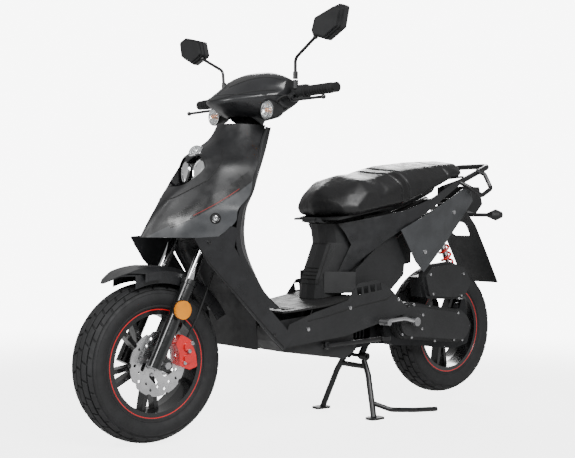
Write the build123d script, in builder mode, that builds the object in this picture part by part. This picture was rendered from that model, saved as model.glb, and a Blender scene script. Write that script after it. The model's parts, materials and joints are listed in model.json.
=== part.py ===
from build123d import *

import os
from math import cos, hypot, radians, sin

# Moped scooter, millimetres. +X forward, +Y left, +Z up.
# Origin: on the ground, half way along the scooter and on its centre plane.
# It stands on its front tyre and on the two feet of the centre stand.

# ---- Driving sizes ------------------------------------------------------------
WHEELBASE = 1279.0
RAKE = 26.0  # steering axis, degrees from upright
TRAIL = 105.0  # ground point of the steering axis ahead of the front contact
REAR_LIFT = 37.0  # rear tyre clear of the ground while on the stand

RIM_INCHES = 12.0
TYRE_WIDTH = 120.0
TYRE_ASPECT = 0.70
TYRE_WALL = 9.0
RIM_SEAT = RIM_INCHES * 25.4 / 2
TYRE_RADIUS = RIM_SEAT + TYRE_WIDTH * TYRE_ASPECT
RIM_WIDTH = 98.0  # over the flanges
RIM_FLANGE = 9.0  # flange height above the bead seat
RIM_BARREL = 5.0
SPOKES = 5

AXLE_RADIUS = 6.0
RUN_GAP = 0.4  # clearance of a turning or sliding fit, on the radius
FACE_GAP = 0.5  # clearance between faces of different bodies
FIT_GAP = 0.2  # clearance between pieces that are fixed to each other

DISC_RADIUS = 95.0
DISC_THICKNESS = 4.0
DISC_Y = 54.0  # outer face of the brake disc

FORK_SPACING = 170.0  # between the two leg centre lines
FORK_LEAD = 37.0  # leg centre lines ahead of the steering axis
STANCHION_RADIUS = 15.0
SLIDER_RADIUS = 21.0
FORK_TRAVEL = 60.0
YOKE_HEIGHT = 655.0  # underside of the yoke, measured up the steering axis
YOKE_THICKNESS = 30.0
HEAD_LOW = 700.0  # lower end of the head tube, up the steering axis
HEAD_LENGTH = 180.0
STEM_RADIUS = 14.0
HEAD_TUBE_RADIUS = 24.0

BAR_HEIGHT = 1179.0  # handlebar, up the steering axis
BAR_LEAD = -11.0  # handlebar, ahead of the steering axis
BAR_LENGTH = 696.0
BAR_RADIUS = 11.0
GRIP_LENGTH = 128.0
GRIP_RADIUS = 16.5
SWITCH_LENGTH = 44.0
LEVER_DROOP = 60.0  # lever plane below the forward direction of the steering head, degrees
COVER_HALF = 148.0  # half width of the handlebar cover

MIRROR_SPAN = 832.0  # over both mirror heads
MIRROR_HEIGHT = 1240.0
MIRROR_X = 246.0

SEAT_WIDTH = 300.0
FLOOR_WIDTH = 330.0
BODY_HALF = 158.0  # half width over the side panels
WALL = 3.0  # plastic covers
FRAME_TUBE = 19.0  # radius of the main tube
RAIL_TUBE = 12.0  # radius of the rear rails

SWING_X = -130.0  # pivot of the engine unit
SWING_Z = 240.0
STAND_X = -205.0  # pivot of the centre stand
STAND_Z = 200.0
STAND_FOOT_X = -174.0
STAND_FOOT_Y = 128.0
STAND_TANG_X = -470.0
SIDE_STAND_X = 62.0
SIDE_STAND_Z = 262.0
SHOCK_TOP = (-520.0, 652.0)  # x, z of the upper shock pin
SHOCK_LOW = (-650.0, 374.0)  # x, z of the lower shock pin
SHOCK_Y = 88.0
SHOCK_PIN = 5.0

# ---- Places worked out from the driving sizes -----------------------------------
FRONT_X = WHEELBASE / 2
REAR_X = -WHEELBASE / 2
FRONT_Z = TYRE_RADIUS
REAR_Z = TYRE_RADIUS + REAR_LIFT
HALF_LENGTH = FRONT_X + TYRE_RADIUS
LEAN = radians(RAKE)
STEER = Plane(
    origin=(FRONT_X + TRAIL, 0, 0),
    x_dir=(cos(LEAN), 0, sin(LEAN)),
    z_dir=(-sin(LEAN), 0, cos(LEAN)),
)
FRONT_AXLE_UP = TRAIL * sin(LEAN) + FRONT_Z * cos(LEAN)
SLIDER_LOW = FRONT_AXLE_UP - 22
SLIDER_HIGH = SLIDER_LOW + 278
LEG_Y = FORK_SPACING / 2


def steer_point(lead, y, up):
    """Global point at a place measured ahead of and up the steering axis."""
    return STEER.from_local_coords(Vector(lead, y, up))


def steer_plane(lead, y, up):
    """Plane square to the steering axis, its X forward."""
    return Plane(origin=steer_point(lead, y, up), x_dir=STEER.x_dir, z_dir=STEER.z_dir)


def across(x, y, z):
    """Plane whose normal is +Y, for round things that lie across the scooter."""
    return Plane(origin=(x, y, z), x_dir=(1, 0, 0), z_dir=(0, 1, 0))


def add_rod(plane, radius, length, mode=Mode.ADD):
    """Round bar that starts on the plane and runs along its normal."""
    with BuildSketch(plane) as section:
        Circle(radius)
    extrude(section.sketch, amount=length, mode=mode)


def add_ring(plane, outer, inner, length):
    """Round sleeve that starts on the plane."""
    with BuildSketch(plane) as section:
        Circle(outer)
        Circle(inner, mode=Mode.SUBTRACT)
    extrude(section.sketch, amount=length)


def add_tube(points, bend, radius, mode=Mode.ADD):
    """Round bar along straight runs joined by tangent arcs."""
    with BuildLine() as path:
        FilletPolyline(*points, radius=bend)
    with BuildSketch(Plane(origin=path.line @ 0, z_dir=path.line % 0)) as section:
        Circle(radius)
    sweep(section.sketch, path=path.line, mode=mode)


def add_bar(start, end, radius, mode=Mode.ADD):
    """Straight round bar between two points."""
    first = Vector(*start)
    run = Vector(*end) - first
    add_rod(Plane(origin=first, z_dir=run), radius, run.length, mode=mode)


def add_plate(outline, y_from, y_to, corner=0.0, mode=Mode.ADD):
    """Flat plate whose outline is given as (x, z) points, between two y values."""
    with BuildSketch(Plane.XZ.offset(-y_from)) as face:
        with BuildLine():
            Polyline(*outline, close=True)
        make_face()
        if corner:
            fillet(face.vertices(), corner)
    extrude(face.sketch, amount=y_from - y_to, mode=mode)


def add_ribbon(spine, bend, thickness, half_width, mode=Mode.ADD):
    """Bent sheet: an (x, z) line with rounded bends, thickened and drawn across the scooter."""
    with BuildSketch(Plane.XZ.offset(-half_width)) as face:
        with BuildLine():
            FilletPolyline(*spine, radius=bend)
            offset(amount=thickness, side=Side.RIGHT)
        make_face()
    extrude(face.sketch, amount=2 * half_width, mode=mode)


def add_spun(profile, x, z, turn=360.0, start=0.0, corner=0.0, mode=Mode.ADD):
    """Turn a (radius, y) outline about the line across the scooter through x, z."""
    tilt = radians(start)
    plane = Plane(origin=(x, 0, z), x_dir=(cos(tilt), 0, sin(tilt)), z_dir=(sin(tilt), 0, -cos(tilt)))
    with BuildSketch(plane) as face:
        with BuildLine():
            Polyline(*profile, close=True)
        make_face()
        if corner:
            fillet(face.vertices(), corner)
    revolve(face.sketch, axis=Axis((x, 0, z), (0, 1, 0)), revolution_arc=-turn, mode=mode)


def add_skin(sections, mode=Mode.ADD):
    """Solid through closed outlines of (x, z) points, one outline at each y."""
    faces = []
    for y, outline in sections:
        with BuildSketch(Plane.XZ.offset(-y)) as face:
            with BuildLine():
                Polyline(*outline, close=True)
            make_face()
        faces.append(face.sketch.face())
    loft(faces, ruled=True, mode=mode)


def add_levels(sections, mode=Mode.ADD):
    """Solid through closed outlines of (x, y) points, one outline at each z."""
    faces = []
    for z, outline in sections:
        with BuildSketch(Plane.XY.offset(z)) as face:
            with BuildLine():
                Polyline(*outline, close=True)
            make_face()
        faces.append(face.sketch.face())
    loft(faces, ruled=True, mode=mode)


def mirrored(half):
    """Whole (x, y) outline from its left half, which runs from the front to the back."""
    return half + [(x, -y) for x, y in reversed(half) if y > 0]


def save(node, name):
    """Label a finished piece and write its STEP file."""
    node.part.label = name
    export_step(node.part, f"parts/{name}.step")


os.makedirs("parts", exist_ok=True)

# ---- Wheels ---------------------------------------------------------------------
HUB_RADIUS = 30.0
HUB_HALF = 45.0
DISC_SEAT_Y = DISC_Y - DISC_THICKNESS
SPOKE_LEG = 13.0  # width of one leg of a split spoke
SPOKE_HALF = 17.0  # half thickness of a spoke, across the wheel
SPOKE_SPLIT = 9.0  # half angle between the legs of one spoke, degrees


def add_rim(x, z, hub_left, hub_right, bore):
    """Cast wheel: barrel with flanges, hub, and split spokes."""
    half = RIM_WIDTH / 2
    barrel = [
        (RIM_SEAT + RIM_FLANGE, -half),
        (RIM_SEAT + RIM_FLANGE, -half + RIM_BARREL),
        (RIM_SEAT, -half + RIM_BARREL),
        (RIM_SEAT, half - RIM_BARREL),
        (RIM_SEAT + RIM_FLANGE, half - RIM_BARREL),
        (RIM_SEAT + RIM_FLANGE, half),
        (RIM_SEAT - RIM_FLANGE, half),
        (RIM_SEAT - RIM_FLANGE - RIM_BARREL, 0),
        (RIM_SEAT - RIM_FLANGE, -half),
    ]
    add_spun(barrel, x, z)
    add_ring(across(x, -hub_right, z), HUB_RADIUS, bore, hub_left + hub_right)
    reach = RIM_SEAT - RIM_FLANGE - HUB_RADIUS + 8
    middle = HUB_RADIUS - 4 + reach / 2
    with BuildSketch(across(x, -SPOKE_HALF, z)) as spokes:
        for spoke in range(SPOKES):
            for leg in (-SPOKE_SPLIT, SPOKE_SPLIT):
                with Locations(Location((0, 0, 0), (0, 0, 360 / SPOKES * spoke + leg + 90))):
                    with Locations((middle, 0)):
                        Rectangle(reach, SPOKE_LEG)
    extrude(spokes.sketch, amount=2 * SPOKE_HALF)


def add_tyre(x, z):
    """Hollow tyre carcass that sits on the rim's bead seats."""
    half = TYRE_WIDTH / 2
    bead = RIM_WIDTH / 2 - RIM_BARREL - FIT_GAP
    seat = RIM_SEAT + FIT_GAP
    crown = TYRE_RADIUS
    widest = RIM_SEAT + (crown - RIM_SEAT) * 0.55
    shoulder = RIM_SEAT + (crown - RIM_SEAT) * 0.86
    skin = [
        (seat, -bead),
        (RIM_SEAT + RIM_FLANGE + 1, -bead),
        (RIM_SEAT + RIM_FLANGE + 6, -bead - 5),
        (widest, -half),
        (shoulder, -half + 9),
        (crown - 2, -half / 2),
        (crown, 0),
        (crown - 2, half / 2),
        (shoulder, half - 9),
        (widest, half),
        (RIM_SEAT + RIM_FLANGE + 6, bead + 5),
        (RIM_SEAT + RIM_FLANGE + 1, bead),
        (seat, bead),
        (seat, bead - TYRE_WALL),
        (widest, half - TYRE_WALL),
        (shoulder - TYRE_WALL, half - 9 - TYRE_WALL),
        (crown - 2 - TYRE_WALL, half / 2 - 4),
        (crown - 2 - TYRE_WALL, -half / 2 + 4),
        (shoulder - TYRE_WALL, -half + 9 + TYRE_WALL),
        (widest, -half + TYRE_WALL),
        (seat, -bead + TYRE_WALL),
    ]
    add_spun(skin, x, z)


with BuildPart() as front_rim:
    add_rim(FRONT_X, FRONT_Z, DISC_SEAT_Y - FIT_GAP, HUB_HALF, AXLE_RADIUS + RUN_GAP)
save(front_rim, "front_rim")

with BuildPart() as front_tyre:
    add_tyre(FRONT_X, FRONT_Z)
save(front_tyre, "front_tyre")

DISC_BOLTS = 5
DISC_BOLT_CIRCLE = 22.0
DISC_HOLES = 10
DISC_WAVES = 10

with BuildPart() as brake_disc:
    with BuildSketch(across(FRONT_X, DISC_SEAT_Y, FRONT_Z)) as plate:
        Circle(DISC_RADIUS)
        with PolarLocations(DISC_RADIUS + 6, DISC_WAVES):
            Circle(11, mode=Mode.SUBTRACT)
        Circle(AXLE_RADIUS + 7, mode=Mode.SUBTRACT)
        with PolarLocations(46, DISC_BOLTS):
            SlotCenterToCenter(26, 13, rotation=60, mode=Mode.SUBTRACT)
        with PolarLocations(78, DISC_HOLES):
            Circle(4.5, mode=Mode.SUBTRACT)
        with PolarLocations(67, DISC_HOLES, start_angle=18):
            Circle(4, mode=Mode.SUBTRACT)
    extrude(plate.sketch, amount=DISC_THICKNESS)
    with BuildSketch(across(FRONT_X, DISC_Y, FRONT_Z)) as heads:
        with PolarLocations(DISC_BOLT_CIRCLE, DISC_BOLTS):
            Circle(4.5)
    extrude(heads.sketch, amount=3)
save(brake_disc, "brake_disc")

REAR_HUB_LEFT = 40.0
REAR_HUB_RIGHT = 44.0

with BuildPart() as rear_rim:
    add_rim(REAR_X, REAR_Z, REAR_HUB_LEFT, REAR_HUB_RIGHT, AXLE_RADIUS)
    add_ring(across(REAR_X, -REAR_HUB_RIGHT, REAR_Z), 62, AXLE_RADIUS, 26)
    add_rod(across(REAR_X, -56, REAR_Z), AXLE_RADIUS, 150)
    with BuildSketch(across(REAR_X, -55, REAR_Z)) as nut:
        RegularPolygon(12, 6)
    extrude(nut.sketch, amount=10)
save(rear_rim, "rear_rim")

with BuildPart() as rear_tyre:
    add_tyre(REAR_X, REAR_Z)
save(rear_tyre, "rear_tyre")

# ---- Front fork, sliding part ------------------------------------------------------
LUG_RADIUS = 19.0
LUG_INNER = LEG_Y - 20.0

with BuildPart() as front_axle:
    reach = LEG_Y + 16
    add_rod(across(FRONT_X, -reach, FRONT_Z), AXLE_RADIUS, 2 * reach)
    for side in (-1, 1):
        with BuildSketch(across(FRONT_X, side * (LEG_Y + 20) - 4, FRONT_Z)) as nut:
            RegularPolygon(11, 6)
        extrude(nut.sketch, amount=8)
    add_ring(across(FRONT_X, DISC_Y + 4.5, FRONT_Z), 10, AXLE_RADIUS - 1, LUG_INNER - DISC_Y - 4.5 - FIT_GAP)
    add_ring(across(FRONT_X, -LUG_INNER + FIT_GAP, FRONT_Z), 10, AXLE_RADIUS - 1, LUG_INNER - HUB_HALF - 1)
save(front_axle, "front_axle")

REFLECTOR_RADIUS = 27.0
REFLECTOR_UP = SLIDER_HIGH - 96
REFLECTOR_Y = LEG_Y + SLIDER_RADIUS + 12
REFLECTOR_LEAD = FORK_LEAD + 8

with BuildPart() as fork_sliders:
    for side in (-1, 1):
        add_rod(steer_plane(FORK_LEAD, side * LEG_Y, SLIDER_LOW), SLIDER_RADIUS, SLIDER_HIGH - SLIDER_LOW)
        add_rod(steer_plane(FORK_LEAD, side * LEG_Y, SLIDER_HIGH - 14), SLIDER_RADIUS + 3, 14)
        add_rod(across(FRONT_X, side * LEG_Y - 16, FRONT_Z), LUG_RADIUS, 32)
        add_bar(
            (FRONT_X, side * LEG_Y, FRONT_Z),
            tuple(steer_point(FORK_LEAD, side * LEG_Y, FRONT_AXLE_UP + 34)),
            15,
        )
        lamp = steer_point(REFLECTOR_LEAD, 0, REFLECTOR_UP)
        near = LEG_Y if side > 0 else -REFLECTOR_Y + FIT_GAP
        add_rod(across(lamp.X, near, lamp.Z), 13, REFLECTOR_Y - LEG_Y - FIT_GAP)
        near = REFLECTOR_Y - 3 - FIT_GAP if side > 0 else -REFLECTOR_Y + FIT_GAP
        add_rod(across(lamp.X, near, lamp.Z), REFLECTOR_RADIUS + 3, 3)
        bore = steer_plane(FORK_LEAD, side * LEG_Y, SLIDER_LOW + 14)
        add_rod(bore, STANCHION_RADIUS + RUN_GAP, SLIDER_HIGH, mode=Mode.SUBTRACT)
    add_rod(across(FRONT_X, -LEG_Y - 30, FRONT_Z), AXLE_RADIUS + FIT_GAP, 2 * LEG_Y + 60, mode=Mode.SUBTRACT)
save(fork_sliders, "fork_sliders")

# The caliper straddles the disc behind the left leg.
CALIPER_OUT = 76.0
CALIPER_IN = 43.0
PAD_GAP = 1.2

with BuildPart() as brake_caliper:
    body = [
        (FRONT_X - 48, FRONT_Z + 58),
        (FRONT_X - 66, FRONT_Z + 84),
        (FRONT_X - 100, FRONT_Z + 66),
        (FRONT_X - 120, FRONT_Z + 20),
        (FRONT_X - 124, FRONT_Z - 14),
        (FRONT_X - 96, FRONT_Z - 22),
        (FRONT_X - 62, FRONT_Z - 8),
        (FRONT_X - 60, FRONT_Z + 30),
    ]
    add_plate(body, DISC_Y + PAD_GAP, CALIPER_OUT, corner=6)
    jaw = [
        (FRONT_X - 62, FRONT_Z + 72),
        (FRONT_X - 100, FRONT_Z + 66),
        (FRONT_X - 120, FRONT_Z + 20),
        (FRONT_X - 124, FRONT_Z - 14),
        (FRONT_X - 104, FRONT_Z - 18),
        (FRONT_X - 70, FRONT_Z + 30),
    ]
    add_plate(jaw, CALIPER_IN, DISC_Y + PAD_GAP + 1, corner=4)
    well = DISC_THICKNESS + 2 * PAD_GAP
    add_rod(across(FRONT_X, DISC_SEAT_Y - PAD_GAP, FRONT_Z), DISC_RADIUS + 2, well, mode=Mode.SUBTRACT)
    with BuildSketch(across(FRONT_X - 88, CALIPER_OUT - 1, FRONT_Z + 26)) as caps:
        with Locations((0, -20), (0, 14)):
            Circle(13)
    extrude(caps.sketch, amount=7)
save(brake_caliper, "brake_caliper")

FENDER_RADIUS = 285.0
FENDER_DEPTH = 50.0  # side walls, towards the hub
FENDER_HALF = LEG_Y - STANCHION_RADIUS - 5
FENDER_FLARE = 80.0  # half width ahead of the legs
FENDER_FRONT = 56.0  # degrees above the horizontal, ahead of the axle
FENDER_LEGS = 88.0  # where the flare ends, just ahead of the legs
FENDER_BACK = 150.0


def add_arch(half, start, end, depth):
    """Channel over the tyre between two angles."""
    top = FENDER_RADIUS
    channel = [
        (top - depth, -half),
        (top - 14, -half),
        (top, -half + 26),
        (top, half - 26),
        (top - 14, half),
        (top - depth, half),
        (top - depth, half - WALL),
        (top - 15, half - WALL),
        (top - WALL, half - 27),
        (top - WALL, -half + 27),
        (top - 15, -half + WALL),
        (top - depth, -half + WALL),
    ]
    add_spun(channel, FRONT_X, FRONT_Z, turn=end - start, start=start)


with BuildPart() as front_fender:
    add_arch(FENDER_HALF, FENDER_FRONT, FENDER_BACK, FENDER_DEPTH)
    add_arch(FENDER_FLARE, FENDER_FRONT, FENDER_LEGS, FENDER_DEPTH - 12)
    tip = FENDER_RADIUS * cos(radians(FENDER_FRONT))
    with BuildSketch(Plane.XY.offset(FRONT_Z)) as point:
        with BuildLine():
            Polyline(
                (FRONT_X - FENDER_RADIUS, -FENDER_FLARE - 10),
                (FRONT_X + 40, -FENDER_FLARE - 10),
                (FRONT_X + tip - 14, -24),
                (FRONT_X + tip + 4, 0),
                (FRONT_X + tip - 14, 24),
                (FRONT_X + 40, FENDER_FLARE + 10),
                (FRONT_X - FENDER_RADIUS, FENDER_FLARE + 10),
                close=True,
            )
        make_face()
    extrude(point.sketch, amount=FENDER_RADIUS + 20, mode=Mode.INTERSECT)
    for side in (-1, 1):
        leg = steer_plane(FORK_LEAD, side * LEG_Y, SLIDER_LOW)
        add_rod(leg, SLIDER_RADIUS + 3 + FIT_GAP, SLIDER_HIGH - SLIDER_LOW + FIT_GAP, mode=Mode.SUBTRACT)
save(front_fender, "front_fender")

with BuildPart() as reflectors:
    for side in (-1, 1):
        lamp = steer_point(REFLECTOR_LEAD, 0, REFLECTOR_UP)
        near = REFLECTOR_Y if side > 0 else -REFLECTOR_Y - 9
        add_rod(across(lamp.X, near, lamp.Z), REFLECTOR_RADIUS, 9)
save(reflectors, "reflectors")

# ---- Steering head and bars -----------------------------------------------------------
STANCHION_LOW = SLIDER_LOW + 14 + FORK_TRAVEL + 8
YOKE_TOP = YOKE_HEIGHT + YOKE_THICKNESS

with BuildPart() as fork_stanchions:
    for side in (-1, 1):
        leg = steer_plane(FORK_LEAD, side * LEG_Y, STANCHION_LOW)
        add_rod(leg, STANCHION_RADIUS, YOKE_TOP - STANCHION_LOW)
save(fork_stanchions, "fork_stanchions")

with BuildPart() as steering_stem:
    with BuildSketch(steer_plane(0, 0, YOKE_HEIGHT)) as yoke:
        with BuildLine():
            Polyline(
                (-26, 30),
                (FORK_LEAD - 14, LEG_Y + 24),
                (FORK_LEAD + 24, LEG_Y + 24),
                (FORK_LEAD + 24, LEG_Y - 18),
                (28, 20),
                (28, -20),
                (FORK_LEAD + 24, -LEG_Y + 18),
                (FORK_LEAD + 24, -LEG_Y - 24),
                (FORK_LEAD - 14, -LEG_Y - 24),
                (-26, -30),
                close=True,
            )
        make_face()
        fillet(yoke.vertices(), 6)
    extrude(yoke.sketch, amount=YOKE_THICKNESS)
    for side in (-1, 1):
        leg = steer_plane(FORK_LEAD, side * LEG_Y, YOKE_HEIGHT - 1)
        add_rod(leg, STANCHION_RADIUS + FIT_GAP, YOKE_THICKNESS + 2, mode=Mode.SUBTRACT)
    add_rod(steer_plane(0, 0, YOKE_TOP - 1), STEM_RADIUS, BAR_HEIGHT - BAR_RADIUS - YOKE_TOP)
    add_rod(steer_plane(0, 0, HEAD_LOW + HEAD_LENGTH + 12), STEM_RADIUS + 5, 14)
    clamp = steer_plane(BAR_LEAD, 0, BAR_HEIGHT - 26)
    with BuildSketch(clamp) as block:
        with Locations((6, 0)):
            RectangleRounded(46, 62, 8)
    extrude(block.sketch, amount=42)
    hole = steer_point(BAR_LEAD, 0, BAR_HEIGHT)
    add_rod(across(hole.X, -40, hole.Z), BAR_RADIUS + FIT_GAP, 80, mode=Mode.SUBTRACT)
save(steering_stem, "steering_stem")

BAR = steer_point(BAR_LEAD, 0, BAR_HEIGHT)

with BuildPart() as handlebar:
    add_rod(across(BAR.X, -BAR_LENGTH / 2 + 8, BAR.Z), BAR_RADIUS, BAR_LENGTH - 16)
    for side in (-1, 1):
        start = BAR_LENGTH / 2 - 9
        low = start if side > 0 else -start - 9
        add_rod(across(BAR.X, low, BAR.Z), GRIP_RADIUS - 1, 9)
save(handlebar, "handlebar")

GRIP_START = BAR_LENGTH / 2 - 9 - FACE_GAP - GRIP_LENGTH
GRIP_BORE = BAR_RADIUS + RUN_GAP
GRIP_RIBS = 9


def add_grip(side):
    """Rubber grip with raised rings and an inner flange."""
    start = GRIP_START if side > 0 else -GRIP_START - GRIP_LENGTH
    add_ring(across(BAR.X, start, BAR.Z), GRIP_RADIUS - 1.5, GRIP_BORE, GRIP_LENGTH)
    flange = GRIP_START if side > 0 else -GRIP_START - 6
    add_ring(across(BAR.X, flange, BAR.Z), GRIP_RADIUS + 4, GRIP_BORE, 6)
    pitch = (GRIP_LENGTH - 24) / GRIP_RIBS
    for rib in range(GRIP_RIBS):
        add_ring(across(BAR.X, start + 14 + rib * pitch, BAR.Z), GRIP_RADIUS, GRIP_BORE, pitch * 0.55)


with BuildPart() as left_grip:
    add_grip(1)
save(left_grip, "left_grip")

with BuildPart() as throttle_grip:
    add_grip(-1)
save(throttle_grip, "throttle_grip")

SWITCH_START = GRIP_START - FACE_GAP - SWITCH_LENGTH
SWITCH_RADIUS = 22.0
BUTTON_Y = SWITCH_START + SWITCH_LENGTH / 2
BUTTON_RADIUS = 6.5
BUTTON_TRAVEL = 2.5
BUTTON_UP = 40.0  # buttons face up and back, degrees above the rearward direction
LEVER_PIVOT_Y = SWITCH_START + 8
LEVER_ARM = 36.0  # pivot ahead of the bar centre, in the lever plane
LEVER_TIP_Y = BAR_LENGTH / 2 - 6
LEVER_PIN = 3.5


def lever_point(out, y):
    """Place in the drooping lever plane, measured out from the bar centre line."""
    droop = radians(LEVER_DROOP)
    return steer_point(BAR_LEAD + out * cos(droop), y, BAR_HEIGHT - out * sin(droop))


LEVER_NORMAL = STEER.x_dir * sin(radians(LEVER_DROOP)) + STEER.z_dir * cos(radians(LEVER_DROOP))
BUTTON_OUT = -STEER.x_dir * cos(radians(BUTTON_UP)) + STEER.z_dir * sin(radians(BUTTON_UP))


def button_plane(side, out):
    """Plane square to the push direction of a handlebar button."""
    centre = Vector(BAR.X, side * BUTTON_Y, BAR.Z) + BUTTON_OUT * out
    return Plane(origin=centre, x_dir=(0, 1, 0), z_dir=BUTTON_OUT)


def add_switch(side):
    """Switch housing with the lever perch and the mirror boss."""
    start = SWITCH_START if side > 0 else -SWITCH_START - SWITCH_LENGTH
    add_ring(across(BAR.X, start, BAR.Z), SWITCH_RADIUS, BAR_RADIUS + FIT_GAP, SWITCH_LENGTH)
    add_rod(button_plane(side, SWITCH_RADIUS - 5), 11, 9)
    pivot = lever_point(LEVER_ARM, side * LEVER_PIVOT_Y)
    base = Plane(origin=pivot - LEVER_NORMAL * 11, x_dir=(0, 1, 0), z_dir=LEVER_NORMAL)
    add_rod(base, 11, 22)
    with BuildSketch(Plane(origin=base.origin, x_dir=(0, 1, 0), z_dir=LEVER_NORMAL)) as arm:
        with Locations((0, LEVER_ARM / 2)):
            Rectangle(20, LEVER_ARM)
    extrude(arm.sketch, amount=22)
    add_rod(across(BAR.X, start - 1, BAR.Z), BAR_RADIUS + FIT_GAP, SWITCH_LENGTH + 2, mode=Mode.SUBTRACT)
    pin = Plane(origin=pivot - LEVER_NORMAL * 13, z_dir=LEVER_NORMAL)
    add_rod(pin, LEVER_PIN + RUN_GAP, 26, mode=Mode.SUBTRACT)
    slot = Plane(origin=pivot - LEVER_NORMAL * 5, x_dir=(0, 1, 0), z_dir=LEVER_NORMAL)
    with BuildSketch(slot) as mouth:
        Circle(13)
        with Locations((side * 20, 0)):
            Rectangle(40, 26)
    extrude(mouth.sketch, amount=10, mode=Mode.SUBTRACT)
    add_rod(button_plane(side, BAR_RADIUS + 4), BUTTON_RADIUS + RUN_GAP, 20, mode=Mode.SUBTRACT)
    boss = Plane(origin=(BAR.X + 20, side * MIRROR_BASE_Y, BAR.Z + 8), z_dir=(0, 0, 1))
    add_rod(boss, 9, 26)
    add_rod(across(BAR.X, start - 1, BAR.Z), BAR_RADIUS + FIT_GAP, SWITCH_LENGTH + 2, mode=Mode.SUBTRACT)


MIRROR_BASE_Y = SWITCH_START + 16

with BuildPart() as switch_housings:
    add_switch(1)
    add_switch(-1)
    with BuildSketch(Plane(origin=(BAR.X + 30, -SWITCH_START - 6, BAR.Z + 4), z_dir=LEVER_NORMAL)) as tank:
        RectangleRounded(44, 40, 8)
    extrude(tank.sketch, amount=26)
    add_rod(across(BAR.X, -BAR_LENGTH / 2, BAR.Z), BAR_RADIUS + FIT_GAP, BAR_LENGTH, mode=Mode.SUBTRACT)
save(switch_housings, "switch_housings")


def add_lever(side):
    """Brake lever: pivot eye, slim blade and ball end."""
    pivot = lever_point(LEVER_ARM, side * LEVER_PIVOT_Y)
    elbow = lever_point(LEVER_ARM + 20, side * (LEVER_PIVOT_Y + 34))
    tip = lever_point(LEVER_ARM + 22, side * LEVER_TIP_Y)
    eye = Plane(origin=pivot - LEVER_NORMAL * 4.5, x_dir=(0, 1, 0), z_dir=LEVER_NORMAL)
    add_rod(eye, 10, 9)
    add_tube([tuple(pivot), tuple(elbow), tuple(tip)], 16, 4.5)
    with Locations(tip):
        Sphere(7.5)
    add_rod(Plane(origin=pivot - LEVER_NORMAL * 12, z_dir=LEVER_NORMAL), LEVER_PIN, 24)


with BuildPart() as left_brake_lever:
    add_lever(1)
save(left_brake_lever, "left_brake_lever")

with BuildPart() as right_brake_lever:
    add_lever(-1)
save(right_brake_lever, "right_brake_lever")

with BuildPart() as horn_button:
    add_rod(button_plane(1, BAR_RADIUS + 4 + BUTTON_TRAVEL + 1), BUTTON_RADIUS, 15)
save(horn_button, "horn_button")

with BuildPart() as starter_button:
    add_rod(button_plane(-1, BAR_RADIUS + 4 + BUTTON_TRAVEL + 1), BUTTON_RADIUS, 15)
save(starter_button, "starter_button")

# The handlebar cover is a shell in two halves that meet on a line a little below the bar.
COVER_SPLIT_Z = BAR.Z - 12
COVER_STATIONS = (0.0, 0.5, 1.0)  # shares of the half width


def cover_outline(share, inset):
    """Outline of the handlebar cover at a share of its half width."""
    taper = share * share
    rear = BAR.X - 52 + 20 * taper + inset
    nose = BAR.X + 200 - 140 * taper - inset * 1.6
    top = BAR.Z + 76 - 34 * taper - inset
    low = BAR.Z - 82 + 38 * taper + inset
    nose_z = BAR.Z - 34 + 22 * taper
    return [
        (rear, BAR.Z - 6),
        (rear + 22, top - 12),
        (BAR.X + 16, top),
        (BAR.X + 90 - 60 * taper, top - 24 + 12 * taper),
        (nose, nose_z + 8),
        (nose - 6, nose_z - 8),
        (BAR.X + 130 - 90 * taper, low + 6),
        (BAR.X + 10, low),
        (rear + 8, BAR.Z - 44 + 18 * taper),
    ]


def add_cover(inset, half, mode=Mode.ADD):
    """Body of the handlebar cover, or its hollow."""
    shares = sorted({side * share for share in COVER_STATIONS for side in (-1, 1)})
    sections = [(share * half, cover_outline(abs(share), inset)) for share in shares]
    add_skin(sections, mode=mode)


def cut_cover():
    """Openings of the cover for the bar, the stem and the instruments."""
    add_cover(WALL, COVER_HALF + 1, mode=Mode.SUBTRACT)
    add_rod(steer_plane(0, 0, BAR_HEIGHT - 140), 60, 100, mode=Mode.SUBTRACT)


with BuildPart() as bar_cover_upper:
    add_cover(0, COVER_HALF)
    cut_cover()
    with BuildSketch(Plane.XY.offset(COVER_SPLIT_Z)) as lower_side:
        with Locations((BAR.X + 50, 0)):
            Rectangle(500, 500)
    extrude(lower_side.sketch, amount=-200, mode=Mode.SUBTRACT)
    dash = Plane(origin=(BAR.X - 40, 0, BAR.Z + 40), x_dir=(0, 1, 0), z_dir=(-0.8, 0, 0.6))
    with BuildSketch(dash) as window:
        RectangleRounded(126 + 2 * FIT_GAP, 66 + 2 * FIT_GAP, 16)
    extrude(window.sketch, amount=60, both=True, mode=Mode.SUBTRACT)
save(bar_cover_upper, "bar_cover_upper")

with BuildPart() as instrument_cluster:
    with BuildSketch(dash.offset(-16)) as pod:
        RectangleRounded(126, 66, 16)
    extrude(pod.sketch, amount=24)
    with BuildSketch(dash.offset(4)) as face:
        RectangleRounded(114, 54, 12)
    extrude(face.sketch, amount=6, mode=Mode.SUBTRACT)
save(instrument_cluster, "instrument_cluster")

INDICATOR_Y = 137.0
INDICATOR_RADIUS = 30.0
INDICATOR_DROP = 60.0  # indicator centres below the bar

COLLAR_LOW = 1072.0  # lower end of the neck collar, up the steering axis
COLLAR_RADIUS = 52.0


def indicator_plane(side, ahead):
    """Plane square to a front indicator, which faces forward."""
    centre = (BAR.X + ahead, side * INDICATOR_Y, BAR.Z - INDICATOR_DROP)
    return Plane(origin=centre, x_dir=(0, 1, 0), z_dir=(1, 0, 0))


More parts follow.
